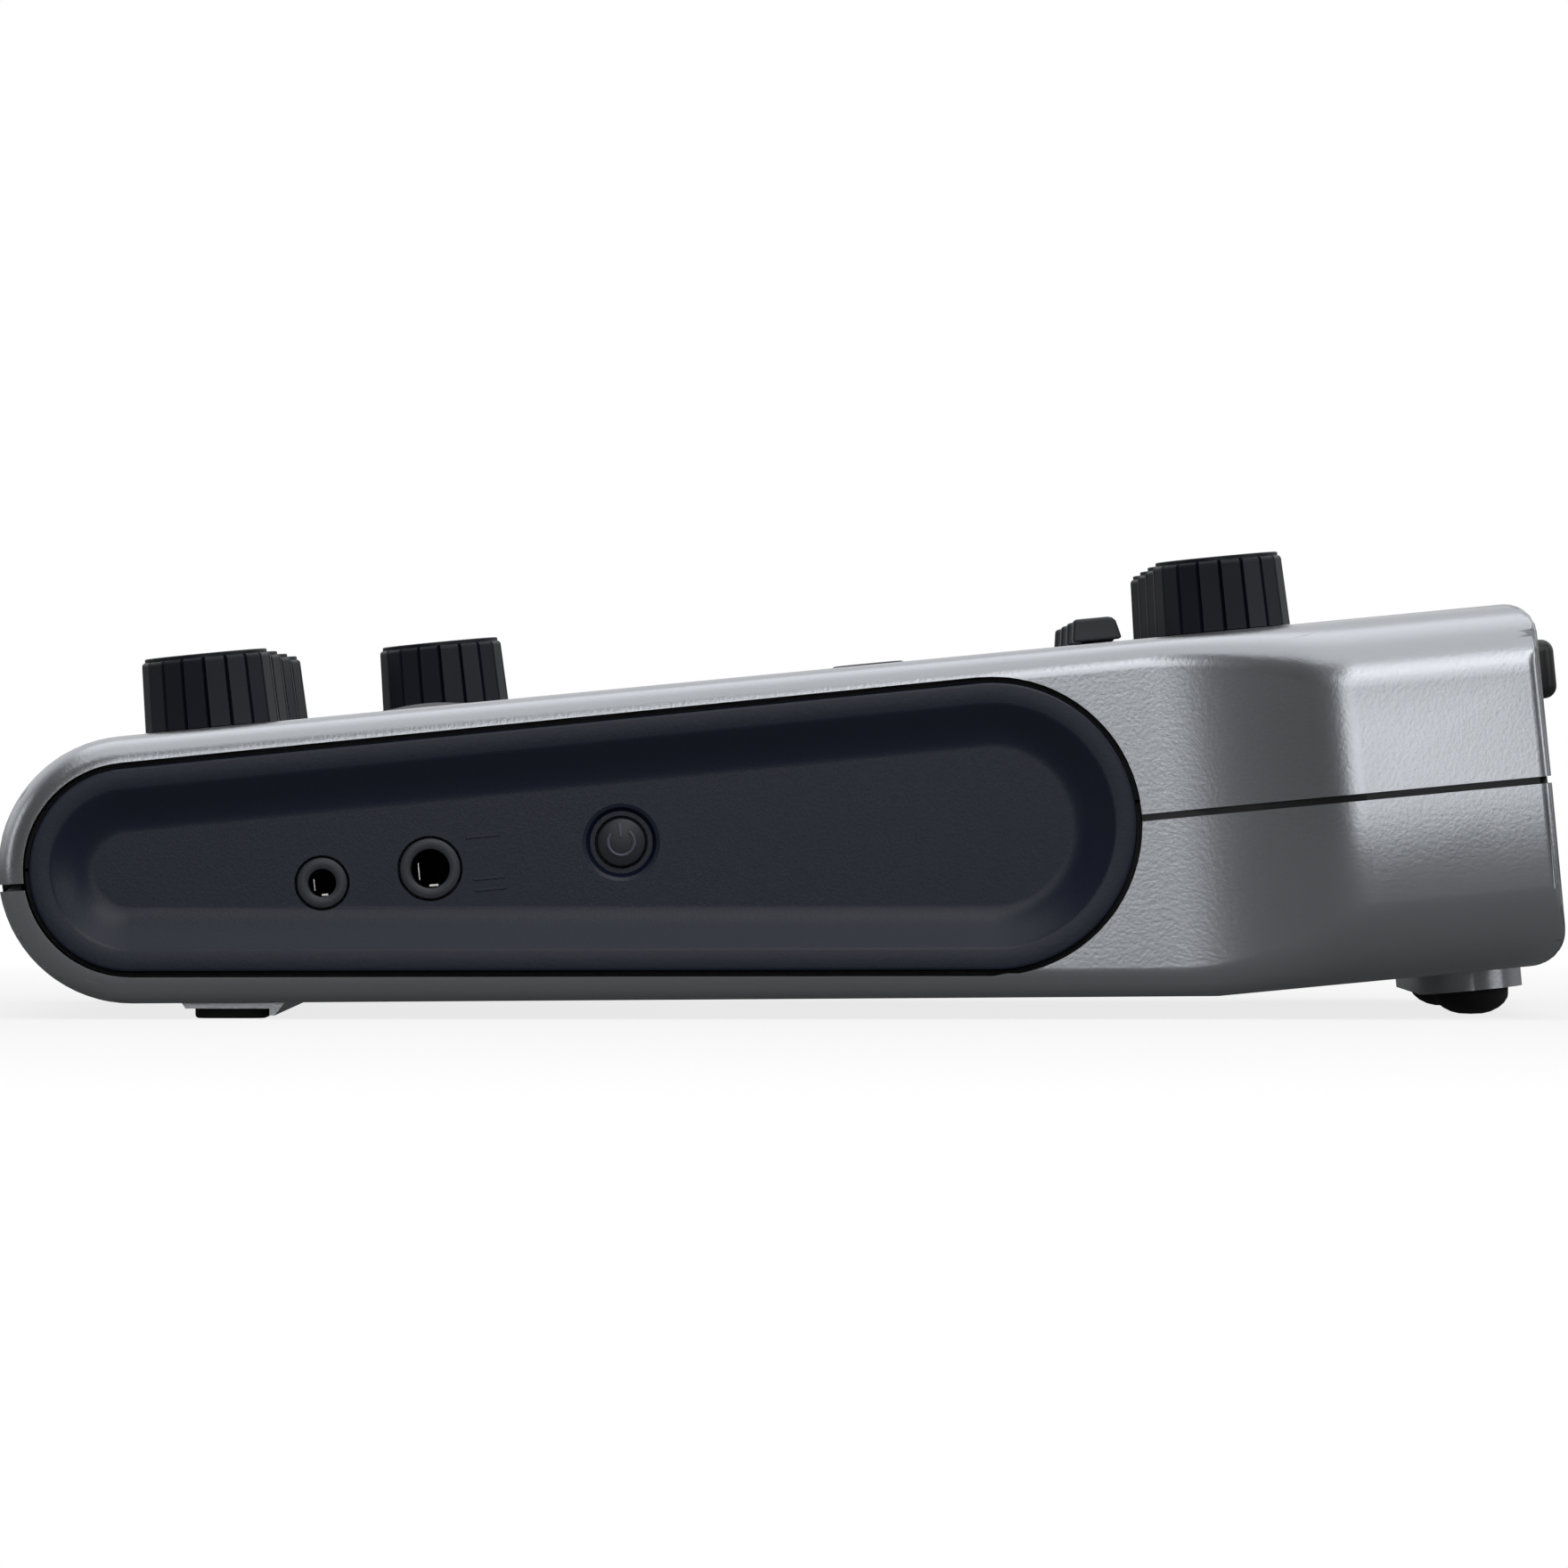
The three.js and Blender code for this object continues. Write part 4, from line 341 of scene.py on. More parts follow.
def skin_at(point):
    """The nearest place on the housing's smooth outer form, and the way out, in the deck's frame."""
    x, y, z = point = Vector(point)
    side = math.copysign(1, x)
    found = [flank_at(x, y, z)]
    corner = REAR_CORNERS["side"]
    arm = Vector((abs(x) - REAR_HALF + corner, y - REAR_FACE + corner))
    if min(arm) >= 0 and arm.length > corner - SKIN_REACH:
        arm.normalize()
        spot = (side * (REAR_HALF - corner * (1 - arm.x)), REAR_FACE - corner * (1 - arm.y), z)
        found.append((Vector(spot), Vector((side * arm.x, arm.y, 0))))
    for mid_y, mid_z, radius, up in rear_turns:
        arm = Vector((y - mid_y, z - mid_z))
        if arm.x >= 0 and arm.y * up >= 0 and arm.length > radius - SKIN_REACH:
            arm.normalize()
            spot = (x, mid_y + radius * arm.x, mid_z + radius * arm.y)
            found.append((Vector(spot), Vector((0, arm.x, arm.y))))
    if y > REAR_FACE - SKIN_REACH:
        found.append((Vector((x, REAR_FACE, z)), Vector((0, 1, 0))))
    nearest = min(found, key=lambda spot: (spot[0] - point).length)[0]
    way = Vector((0, 0, 0))
    for spot, out in found:
        way += out * max(1 - ((spot - point).length - (nearest - point).length) / CREASE, 0) ** 2
    return nearest, way.normalized()


def parting_at(y):
    """Height of the parting line at a place along the deck."""
    return -PARTING_DEPTH + max(PARTING_BEND - y, 0) * PARTING_FALL


def crown_at(x, y, z):
    """How far the rear block's side draws in above and below its fullest line, and its slope there."""
    rise = z - parting_at(y) + CROWN_SHIFT
    turn = min(abs(rise) / CROWN_REACH, 1) * math.pi
    outward = min(max(abs(x) / REAR_HALF * CROWN_FADE - (CROWN_FADE - 1), 0), 1)
    weight = SIDE_CROWN * flare_at(y) * outward ** 2
    slope = weight * math.sin(turn) / 2 * math.pi / CROWN_REACH * math.copysign(1, rise)
    return weight * (1 - math.cos(turn)) / 2, slope


def arc_shares(steps):
    """Sines of the angles that split a right angle evenly."""
    return [math.sin(math.radians(90) * step / steps) for step in range(1, steps)]


def fan(y, z, first, last, step):
    """Planes through a line across the housing, at even angles from the deck's direction."""
    turns = [math.radians(first + step * i) for i in range(int((last - first) / step) + 1)]
    return [((0, y, z), (0, -math.sin(turn), math.cos(turn))) for turn in turns]


def across(axis, values):
    """Planes square to an axis."""
    normal = tuple(float(i == axis) for i in range(3))
    return [(tuple(value * share for share in normal), normal) for value in values]


def refine(bm, planes, chosen):
    """Cuts the chosen faces along planes."""
    for place, normal in planes:
        faces = [face for face in bm.faces if chosen(face)]
        parts = {part for face in faces for part in (face, *face.edges, *face.verts)}
        bmesh.ops.bisect_plane(bm, geom=list(parts), dist=1e-4, plane_co=place, plane_no=normal)


def smooth_case(node):
    """A finer copy of a case, with its skin on the smooth outer form and its pockets' ends round.

    The skin, its softened edges and the ribs that stand out of it are painted. The rest is bare, and its
    black in the parting groove is painted shade."""
    bm = bmesh.new()
    bm.from_mesh(frame["nodes"][node].data)
    bmesh.ops.remove_doubles(bm, verts=bm.verts, dist=SAME_POINT)
    bm.transform(to_deck)
    bm.normal_update()
    for face in bm.faces:
        centre = face.calc_center_median()
        place, out = skin_at(centre)
        near = all((skin_at(vert.co)[0] - vert.co).length < SKIN_REACH for vert in face.verts)
        stands_out = (centre - place).dot(out) > STANDS_OUT
        face.smooth = near and face.normal.dot(out) > SKIN_TURN
        # Faces off the skin get black, which in the parting groove is painted shade
        face.material_index = SKIN if face.smooth else RIB if stands_out else BARE

    def first(face):
        return min(vert.co.y for vert in face.verts)

    def last(face):
        return max(vert.co.y for vert in face.verts)

    def skin(face):
        return face.smooth

    def at_nose(face):
        return first(face) < 0 and (face.smooth or abs(face.verts[0].co.x) > POCKET_SIDE)

    def at_pocket_end(face):
        inner = min(abs(vert.co.x) for vert in face.verts)
        return last(face) > PANEL_REAR["y"] and inner > POCKET_FLOOR - 1 and first(face) < FLARE_START + 2

    def at_rear(face):
        return face.smooth and last(face) > FLARE_START

    def at_rear_turn(face):
        return face.smooth and last(face) > REAR_FACE - REAR_REACH

    shares = arc_shares(ROUND_ROWS)
    waist = [WAIST_HALF - FRONT_EDGE * (1 - share) for share in shares]
    block = [REAR_HALF - REAR_TOP_EDGE * (1 - share) for share in shares]
    rims = [1 - math.sqrt(1 - share * share) for share in shares]
    flare = [FLARE_START + FLARE_LENGTH * i / FLARE_ROWS for i in range(FLARE_ROWS + 1)]
    refine(bm, fan(0, -NOSE_RADIUS, *END_FAN), at_nose)
    refine(bm, fan(PANEL_REAR["y"], PANEL_REAR["z"], *END_FAN), at_pocket_end)
    refine(bm, across(0, [side * x for x in waist for side in (-1, 1)]), skin)
    refine(bm, across(1, flare), skin)
    refine(bm, across(0, [side * x for x in block for side in (-1, 1)]), at_rear)
    refine(bm, across(2, [-REAR_TOP_EDGE * rim for rim in rims]), at_rear)
    refine(bm, across(2, [REAR_BOTTOM_EDGE * rim - rear_depth for rim in rims]), at_rear)
    for mid_y, mid_z, radius, up in rear_turns:
        refine(bm, fan(mid_y, mid_z, min(up * REAR_FAN, 0), max(up * REAR_FAN, 0), REAR_FAN_STEP),
               at_rear_turn)
    refine(bm, across(1, [REAR_FACE - gap for gap in REAR_ROWS]), at_rear_turn)
    for vert in bm.verts:
        if any(face.smooth for face in vert.link_faces):
            place = skin_at(vert.co)[0]
            if (place - vert.co).length < SKIN_REACH:
                vert.co = place
                vert.co.x -= math.copysign(crown_at(*place)[0], place.x)
        if abs(vert.co.x) > POCKET_FLOOR - 0.1:
            for end, way in ((PANEL_FRONT, -1), (PANEL_REAR, 1)):
                arm = Vector((vert.co.y - end["y"], vert.co.z - end["z"]))
                radius = end["radius"] + POCKET_GAP
                if arm.x * way > 0 and POCKET_RIM[0] * radius < arm.length < POCKET_RIM[1] * radius:
                    arm.length = radius
                    vert.co.yz = (end["y"] + arm.x, end["z"] + arm.y)
        # The lower case's tongue stands close behind the groove and closes it
        place, out = skin_at(vert.co)
        behind = (place - vert.co).length
        rise = vert.co.z - parting_at(vert.co.y)
        if node == "lower_case" and rise > -SEAM_ROOT and TONGUE_REACH[0] < behind < TONGUE_REACH[1]:
            vert.co = place - out * SEAM_DEPTH
    bmesh.ops.dissolve_limit(bm, angle_limit=FLAT_ANGLE, verts=bm.verts, edges=bm.edges,
                             delimit={"MATERIAL"})
    bm.normal_update()
    rims = [edge for edge in bm.edges if len(edge.link_faces) == 2
            and edge.calc_face_angle() > SHARP_ANGLE
            and min(face.material_index for face in edge.link_faces) == SKIN]
    bmesh.ops.bevel(bm, geom=rims, offset=CASE_EDGE, segments=2, profile=0.5, affect="EDGES", material=EDGE,
                    clamp_overlap=True)
    return bm


def set_skin_normals(piece):
    """Gives the skin the normals of the smooth outer form, turned evenly over the softened edges."""
    mesh = piece.data
    turn = deck_place.to_3x3().normalized()
    ways, walls, ribs = {}, {}, {}
    for face in mesh.polygons:
        for index in face.vertices:
            if face.material_index == RIB:
                ribs.setdefault(index, []).append(face.normal.copy())
            if face.material_index == SKIN and face.use_smooth and index not in ways:
                x, y, z = to_deck @ mesh.vertices[index].co
                drawn_in, lean = crown_at(x, y, z)
                out = skin_at((x + math.copysign(drawn_in, x), y, z))[1]
                out.z += abs(out.x) * lean
                ways[index] = (turn @ out).normalized()
            elif face.material_index != EDGE:
                walls.setdefault(index, face.normal.copy())
    normals = [None] * len(mesh.loops)
    for face in mesh.polygons:
        for loop in face.loop_indices:
            index = mesh.loops[loop].vertex_index
            if face.material_index == EDGE:
                normals[loop] = ways.get(index, walls.get(index, mesh.vertices[index].normal.copy()))
            elif face.material_index == SKIN and index in ways:
                normals[loop] = ways[index]
            elif face.material_index == RIB:
                near = [way for way in ribs[index] if way.angle(face.normal) < SHARP_ANGLE]
                normals[loop] = sum(near, Vector((0, 0, 0))).normalized()
            else:
                normals[loop] = face.normal.copy()
    mesh.normals_split_custom_set(normals)


for node in ("upper_case", "lower_case"):
    case = show(node + "_painted", smooth_case(node), deck_place,
                [silver_paint, inside_shade_abs, silver_paint, silver_paint], "case", [node])
    set_skin_normals(case)


# Side panels. A dark moulded ABS plate with round ends is let into each side of the waist behind a
# narrow gap. Inside a flat lip its face curves down to a dished floor, through which the sockets,
# the power button and the ports come.
PANEL_SHRINK = 0.12
PANEL_THICKNESS = 3.3
PANEL_LIP = 2.0
PANEL_LIP_EDGE = 0.35
PANEL_EDGE = (0.08, math.radians(50))
DISH_WIDTH = 4.5
DISH_DEPTH = 1.8
DISH_RINGS = 12
DISH_SOFT = 0.4
ROUND_MID = 0.3
OUTLINE_STEPS = 160
COLLAR_GAP = 0.25
REMOTE_JACK = {"y": 18.7012, "z": -16.4, "radius": 2.5, "bore": 1.375}
LINE_JACK = {"y": 29.4966, "z": -16.0, "radius": 3.0, "bore": 1.925}
POWER_BUTTON = {"y": 48.608, "z": -15.2, "radius": 2.4}
POWER_WELL = [
    (0, -0.8), (3.1, -0.8), (3.3, -0.6), (3.35, -0.3), (3.5, -0.08), (3.85, 0.0), (3.85, 1), (0, 1)]
USB_PORT = {"y": 20.0, "z": -16.3, "width": 9.6, "height": 3.9}
MARK_BARS = ((35.0, -13.3, 3.4), (35.2, -17.5, 3.2), (35.3, -18.6, 3.2))
MARK_BAR = (0.3, 0.2)
MARK_EDGE = 0.07
CARD_SLOT = {"y": 60.0, "z": -16.5, "width": 15.0, "height": 3.2}
ROUND_STEPS = 64
FINE_STEPS = 96
COARSE_STEPS = 32

dish_face = WAIST_HALF - DISH_DEPTH
right_side = deck_place @ Matrix(((0, 0, 1, 0), (1, 0, 0, 0), (0, 1, 0, 0), (0, 0, 0, 1)))
left_side = deck_place @ Matrix(((0, 0, -1, 0), (1, 0, 0, 0), (0, 1, 0, 0), (0, 0, 0, 1)))

# Dark blue-grey ABS with a fine spark-eroded texture: matt, with a soft broad sheen
panel_abs = surface("textured_dark_abs", "#161d31", 0.0, 0.36, 0.3, 0.012, 0.04,
                    **{"Specular IOR Level": 0.4})


def soften(piece, edge, segments=2, angle=SHARP_ANGLE):
    """Rounds a piece's sharp edges by a real moulded radius, in millimetres."""
    rounding = piece.modifiers.new("moulded_edges", "BEVEL")
    rounding.width = edge * MM
    rounding.segments = segments
    rounding.limit_method = "ANGLE"
    rounding.angle_limit = angle
    rounding.harden_normals = True
    evening = piece.modifiers.new("even_faces", "WEIGHTED_NORMAL")
    evening.keep_sharp = True
    evening.weight = 100


def turned(profile, steps=ROUND_STEPS):
    """A closed form turned about Z from radius and height pairs, with both ends on the axis."""
    bm = bmesh.new()
    verts = [bm.verts.new((radius, 0, height)) for radius, height in profile]
    edges = [bm.edges.new(pair) for pair in zip(verts, verts[1:])]
    bmesh.ops.spin(bm, geom=verts + edges, cent=(0, 0, 0), axis=(0, 0, 1), angle=math.tau, steps=steps,
                   use_merge=True)
    bmesh.ops.remove_doubles(bm, verts=bm.verts, dist=SAME_POINT / MM)
    bmesh.ops.recalc_face_normals(bm, faces=bm.faces)
    return bm


def drill(radius, depth, steps=ROUND_STEPS):
    """A cutter for a round hole, from a depth up to a millimetre above its mouth at Z = 0."""
    return turned([(0, -depth), (radius, -depth), (radius, 1), (0, 1)], steps)


def slab(size, centre):
    """A plain block of a bmesh, to be softened later."""
    bm = bmesh.new()
    bmesh.ops.create_cube(bm, size=1, matrix=Matrix.Translation(centre) @ Matrix.Diagonal((*size, 1)))
    return bm


def add_form(bm, form, place=Matrix()):
    """Adds one bmesh to another at a place, and frees it."""
    form.transform(place)
    if place.determinant() < 0:
        bmesh.ops.reverse_faces(form, faces=form.faces)
    mesh = bpy.data.meshes.new("form")
    form.to_mesh(mesh)
    form.free()
    bm.from_mesh(mesh)
    bpy.data.meshes.remove(mesh)


def baked(made):
    """A bmesh of an object with its modifiers or its curve applied."""
    evaluated = made.evaluated_get(bpy.context.evaluated_depsgraph_get())
    bm = bmesh.new()
    bm.from_mesh(evaluated.to_mesh())
    evaluated.to_mesh_clear()
    return bm


def carve(bm, tools):
    """Cuts closed forms out of a bmesh."""
    blank = made_object("blank", bm)
    cutters = [made_object("cutter", tool) for tool in tools]
    for cutter in cutters:
        cutting = blank.modifiers.new("cut", "BOOLEAN")
        cutting.operation = "DIFFERENCE"
        cutting.solver = "EXACT"
        cutting.object = cutter
    result = baked(blank)
    for made in [blank] + cutters:
        bpy.data.meshes.remove(made.data)
    return result


def drawn_out(bm, face):
    """Extrudes a face, and gives the new face's vertices and the new face itself."""
    made = bmesh.ops.extrude_face_region(bm, geom=[face])["geom"]
    return ([part for part in made if isinstance(part, bmesh.types.BMVert)],
            next(part for part in made if isinstance(part, bmesh.types.BMFace)))


def panel_form():
    """The dished plate, drawn with its length along X and its face outwards along Z."""
    bm = bmesh.new()
    ring = bmesh.ops.create_circle(bm, cap_ends=True, segments=OUTLINE_STEPS, radius=1)["verts"]
    lean = math.atan2(PANEL_REAR["z"] - PANEL_FRONT["z"], PANEL_REAR["y"] - PANEL_FRONT["y"])
    reach = math.hypot(PANEL_REAR["z"] - PANEL_FRONT["z"], PANEL_REAR["y"] - PANEL_FRONT["y"])
    tangent = math.acos((PANEL_FRONT["radius"] - PANEL_REAR["radius"]) / reach)
    for vert in ring:
        turn = math.remainder(math.atan2(vert.co.y, vert.co.x) - lean, math.tau)
        end = PANEL_REAR if abs(turn) <= tangent else PANEL_FRONT
        radius = end["radius"] - PANEL_SHRINK
        vert.co = (end["y"] + radius * vert.co.x, end["z"] + radius * vert.co.y,
                   WAIST_HALF - PANEL_THICKNESS)
    back = bm.faces[:][0]
    verts, front = drawn_out(bm, back)
    bmesh.ops.translate(bm, vec=(0, 0, PANEL_THICKNESS - PANEL_LIP_EDGE), verts=verts)
    back.normal_flip()
    bmesh.ops.recalc_face_normals(bm, faces=bm.faces)
    for inward, outward in ((ROUND_MID, 1 - ROUND_MID), (1 - ROUND_MID, ROUND_MID)):
        bmesh.ops.inset_region(bm, faces=[front], thickness=PANEL_LIP_EDGE * inward,
                               depth=PANEL_LIP_EDGE * outward)
    bmesh.ops.inset_region(bm, faces=[front], thickness=PANEL_LIP - PANEL_LIP_EDGE)
    fallen = 0
    for step in range(1, DISH_RINGS + 1):
        share = step / DISH_RINGS
        soft, steep = (1 - math.cos(math.pi * share)) / 2, 1 - (1 - share) ** 2
        fall = DISH_DEPTH * soft * DISH_SOFT + DISH_DEPTH * steep * (1 - DISH_SOFT)
        bmesh.ops.inset_region(bm, faces=[front], thickness=DISH_WIDTH / DISH_RINGS, depth=fallen - fall)
        fallen = fall
    return bm


def moved(form, place):
    """A bmesh moved to a place."""
    form.transform(place)
    return form


def in_dish(spot):
    """The place of a spot in the dish's floor, in the side's own frame."""
    return Matrix.Translation((spot["y"], spot["z"], dish_face))


right_cuts = [moved(drill(spot["radius"] + COLLAR_GAP, PANEL_THICKNESS), in_dish(spot))
              for spot in (REMOTE_JACK, LINE_JACK, POWER_BUTTON)]
right_cuts.append(moved(turned(POWER_WELL), in_dish(POWER_BUTTON)))
# The ports' holes lie level with the table, so they are turned back by the deck's slope
level = Matrix.Rotation(-DECK_SLOPE, 4, "Z")
left_cuts = [moved(slab((port["width"], port["height"], 2 * PANEL_THICKNESS), (0, 0, 0)),
                   in_dish(port) @ level) for port in (USB_PORT, CARD_SLOT)]

for side, place, cuts in (("right", right_side, right_cuts), ("left", left_side, left_cuts)):
    bm = bmesh.new()
    add_form(bm, carve(panel_form(), cuts), place)
    panel = show(f"side_panel_{side}_dished", bm, AS_BUILT, [panel_abs], "case",
                 [f"side_panel_{side}"])
    soften(panel, PANEL_EDGE[0], angle=PANEL_EDGE[1])

# A plain mark of three raised bars stands beside the larger socket
marks = bmesh.new()
for y, z, width in MARK_BARS:
    add_form(marks, slab((width, *MARK_BAR), (y, z, dish_face)))
raised = show("side_panel_right_mark", marks, right_side, [panel_abs], "case", [])
soften(raised, MARK_EDGE)


# Side sockets. Each is a black glass-filled nylon jack whose round collar comes through the panel,
# flush with the dish. Plated spring contacts glint inside the bore.
SIDE_JACK_DEPTH = 12.0
SIDE_JACK_FACE = 45.8
JACK_BORE_DEPTH = 12.0
COLLAR_EDGE = 0.15
COLLAR_WALL = 0.5
JUST_OVER = 1.01
# Each leaf's width, x and y as shares of the bore's radius, and its thickness, length and depth
SLEEVE_LEAF = (0.5, 0.1, -0.88, 0.25, 2.2, 2.1)
TIP_LEAF = (0.9, -0.62, -0.1, 0.16, 1.4, 2.6)
LEAF_EDGE = 0.05

# Glass-filled nylon, moulded: a dark grey with a dull even sheen
jack_nylon = surface("glass_filled_nylon", "#33363e", 0.0, 0.4, 0.25, 0.008)
# The inside of a bore gets almost no light and reads black
bore_black = surface("bore_shadow_nylon", "#08080a", 0.0, 0.7, 0.3, 0.005)
# Bright nickel on the spring contacts
nickel = surface("nickel_plated_bronze", "#d9d6ce", 1.0, 0.22, 0.4, 0.003)


def collar_form(collar, bore, depth, length):
    """A collar with rounded rims and a blind bore, its face at Z = 0."""
    mid = ROUND_MID * COLLAR_EDGE
    return turned([
        (0, -depth), (bore, -depth), (bore, -COLLAR_EDGE), (bore + mid, -mid),
        (bore + COLLAR_EDGE, 0), (collar - COLLAR_EDGE, 0), (collar - mid, -mid),
        (collar, -COLLAR_EDGE), (collar, -length), (bore + COLLAR_WALL, -length),
        (bore + COLLAR_WALL, -depth - COLLAR_WALL), (0, -depth - COLLAR_WALL)])


def fit_jack(name, collar, bore, depth, length, mouth, block, block_place):
    """Shows a jack with its face at a mouth, a block behind it, and two bent contact leaves in its
    bore: one under the plug's sleeve and one beside its tip."""
    bm = collar_form(collar, bore, depth, length)
    for face in bm.faces:
        centre = face.calc_center_median()
        inside = -depth - COLLAR_EDGE < centre.z < -2 * COLLAR_EDGE
        if inside and math.hypot(centre.x, centre.y) < bore * JUST_OVER:
            face.material_index = 1
    bm.transform(mouth)
    add_form(bm, block, block_place)
    show(name + "_collared", bm, AS_BUILT, [jack_nylon, bore_black], "case", [name])
    leaves = bmesh.new()
    for leaf in (SLEEVE_LEAF, TIP_LEAF):
        width, x, y = (share * bore for share in leaf[:3])
        thickness, length, leaf_depth = leaf[3:]
        size = (thickness, width, length) if leaf is TIP_LEAF else (width, thickness, length)
        add_form(leaves, slab(size, (x, y, -leaf_depth)))
    glint = show(name + "_contacts", leaves, mouth, [nickel], "case", [])
    soften(glint, LEAF_EDGE)


def paint(bm, material):
    """Gives every face of a bmesh one material."""
    for face in bm.faces:
        face.material_index = material


for name, spot in (("remote_jack", REMOTE_JACK), ("line_jack", LINE_JACK)):
    low, high = (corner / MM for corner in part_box(name))
    centre = deck_place @ Vector((0, spot["y"], spot["z"])) / MM
    bore = moved(drill(spot["bore"] + COLLAR_WALL, JACK_BORE_DEPTH),
                 Matrix.Translation((dish_face, centre.y, centre.z))
                 @ Matrix.Rotation(math.radians(90), 4, "Y"))
    block = slab((SIDE_JACK_DEPTH, high.y - low.y, high.z - low.z),
                 (SIDE_JACK_FACE - SIDE_JACK_DEPTH / 2, (low.y + high.y) / 2, (low.z + high.z) / 2))
    fit_jack(name, spot["radius"], spot["bore"], JACK_BORE_DEPTH, dish_face - SIDE_JACK_FACE + COLLAR_WALL,
             right_side @ in_dish(spot), carve(block, [bore]), Matrix.Scale(MM, 4))


# Power button. A black ABS cap stands in the panel's round well, with the standby sign raised on it
# as a broken ring with a bar in the gap. It springs back from the switch behind.
POWER_CAP_EDGE = 0.3
STANDBY_RING = 1.3
STANDBY_TUBE = 0.17
STANDBY_OPEN = math.radians(42)
STANDBY_BAR = (0.34, 1.5, 0.3)
STANDBY_BAR_DROP = 0.15
STANDBY_BAR_EDGE = 0.1
STANDBY_STEPS = 40
BUTTON_FLANGE = {"radius": 3.3, "face": 45.6, "thickness": 0.7}
BUTTON_STEM = {"radius": 1.2, "length": 3.0}

# ABS, moulded matt: a dull dark grey that stands out a little from the blue of the panel
button_abs = surface("matt_button_abs", "#23262e", 0.0, 0.4, 0.3, 0.008)
# Lighter grey on the raised sign: a painted highlight where light catches its relief, so that it just shows
sign_painted_highlight = surface("grey_sign_painted_highlight", "#525765", 0.0, 0.4, 0.2, 0.004)


def standby_sign():
    """The raised broken ring and bar, lying on Z = 0."""
    bm = bmesh.new()
    upright = Matrix.Translation((STANDBY_RING, 0, 0)) @ Matrix.Rotation(math.radians(90), 4, "X")
    circle = bmesh.ops.create_circle(bm, segments=12, radius=STANDBY_TUBE, cap_ends=True, matrix=upright)
    bmesh.ops.rotate(bm, verts=circle["verts"], cent=(0, 0, 0),
                     matrix=Matrix.Rotation(math.radians(90) + STANDBY_OPEN, 3, "Z"))
    bmesh.ops.spin(bm, geom=bm.verts[:] + bm.edges[:] + bm.faces[:], cent=(0, 0, 0), axis=(0, 0, 1),
                   angle=math.tau - 2 * STANDBY_OPEN, steps=STANDBY_STEPS)
    bmesh.ops.recalc_face_normals(bm, faces=bm.faces)
    bar = slab(STANDBY_BAR, (0, STANDBY_RING - STANDBY_BAR_DROP, 0))
    bmesh.ops.bevel(bar, geom=bar.edges[:], offset=STANDBY_BAR_EDGE, segments=3, affect="EDGES",
                    profile=0.5, material=-1)
    add_form(bm, bar)
    # The sign takes the lighter grey of a painted highlight
    paint(bm, 1)
    return bm


cap, mid = POWER_BUTTON["radius"], ROUND_MID * POWER_CAP_EDGE
flange, stem = BUTTON_FLANGE["radius"], BUTTON_STEM["radius"]
flange_top = BUTTON_FLANGE["face"] - dish_face
flange_back, stem_end = flange_top - BUTTON_FLANGE["thickness"], flange_top - BUTTON_STEM["length"]
bm = turned([
    (0, 0), (cap - POWER_CAP_EDGE, 0), (cap - mid, -mid), (cap, -POWER_CAP_EDGE), (cap, flange_top),
    (flange, flange_top), (flange, flange_back), (stem, flange_back), (stem, stem_end), (0, stem_end)])
add_form(bm, standby_sign())
show("power_button_cap", bm, right_side @ in_dish(POWER_BUTTON), [button_abs, sign_painted_highlight], "power_button",
     ["power_button"])


# Knobs. Nine moulded knobs, each a skirt of eighteen flat ribs between narrow grooves, rounded over at
# the top, under a thin round cap with a white pointer line. Each turns on the shaft of its pot.
RIBS = 18
RIB_STEPS = 12
KNOB_GAP = 0.12
KNOB_BASE = 6.75
KNOB_TOP = 6.48
KNOB_SKIRT_TOP = 7.12
KNOB_CAP = 6.12
KNOB_CAP_TOP = 7.48
KNOB_CAP_EDGE = (0.1, 0.08)
KNOB_CAP_SUNK = 0.03
KNOB_SHARP = math.radians(25)
GROOVE_DEPTH = 0.42
RIB_ROUND = 0.4
RIB_ROUND_STEPS = 4
POINTER = (0.55, 3.4, 0.08)
POINTER_INSET = 0.5
SHAFT_RADIUS = 3.0
SHAFT_TOP = 0.2
SHAFT_END = -7.2

# Moulded ABS in near-black blue: satin, with the ribs' flats catching a soft light
knob_abs = surface("moulded_knob_abs", "#141721", 0.0, 0.42, 0.28, 0.006, 0.03,
                   **{"Specular IOR Level": 0.3})
# Pad-printed white ink, slightly raised and matt
white_ink = surface("white_print_ink", "#e6e7e8", 0.0, 0.5, 0.2, 0.004)


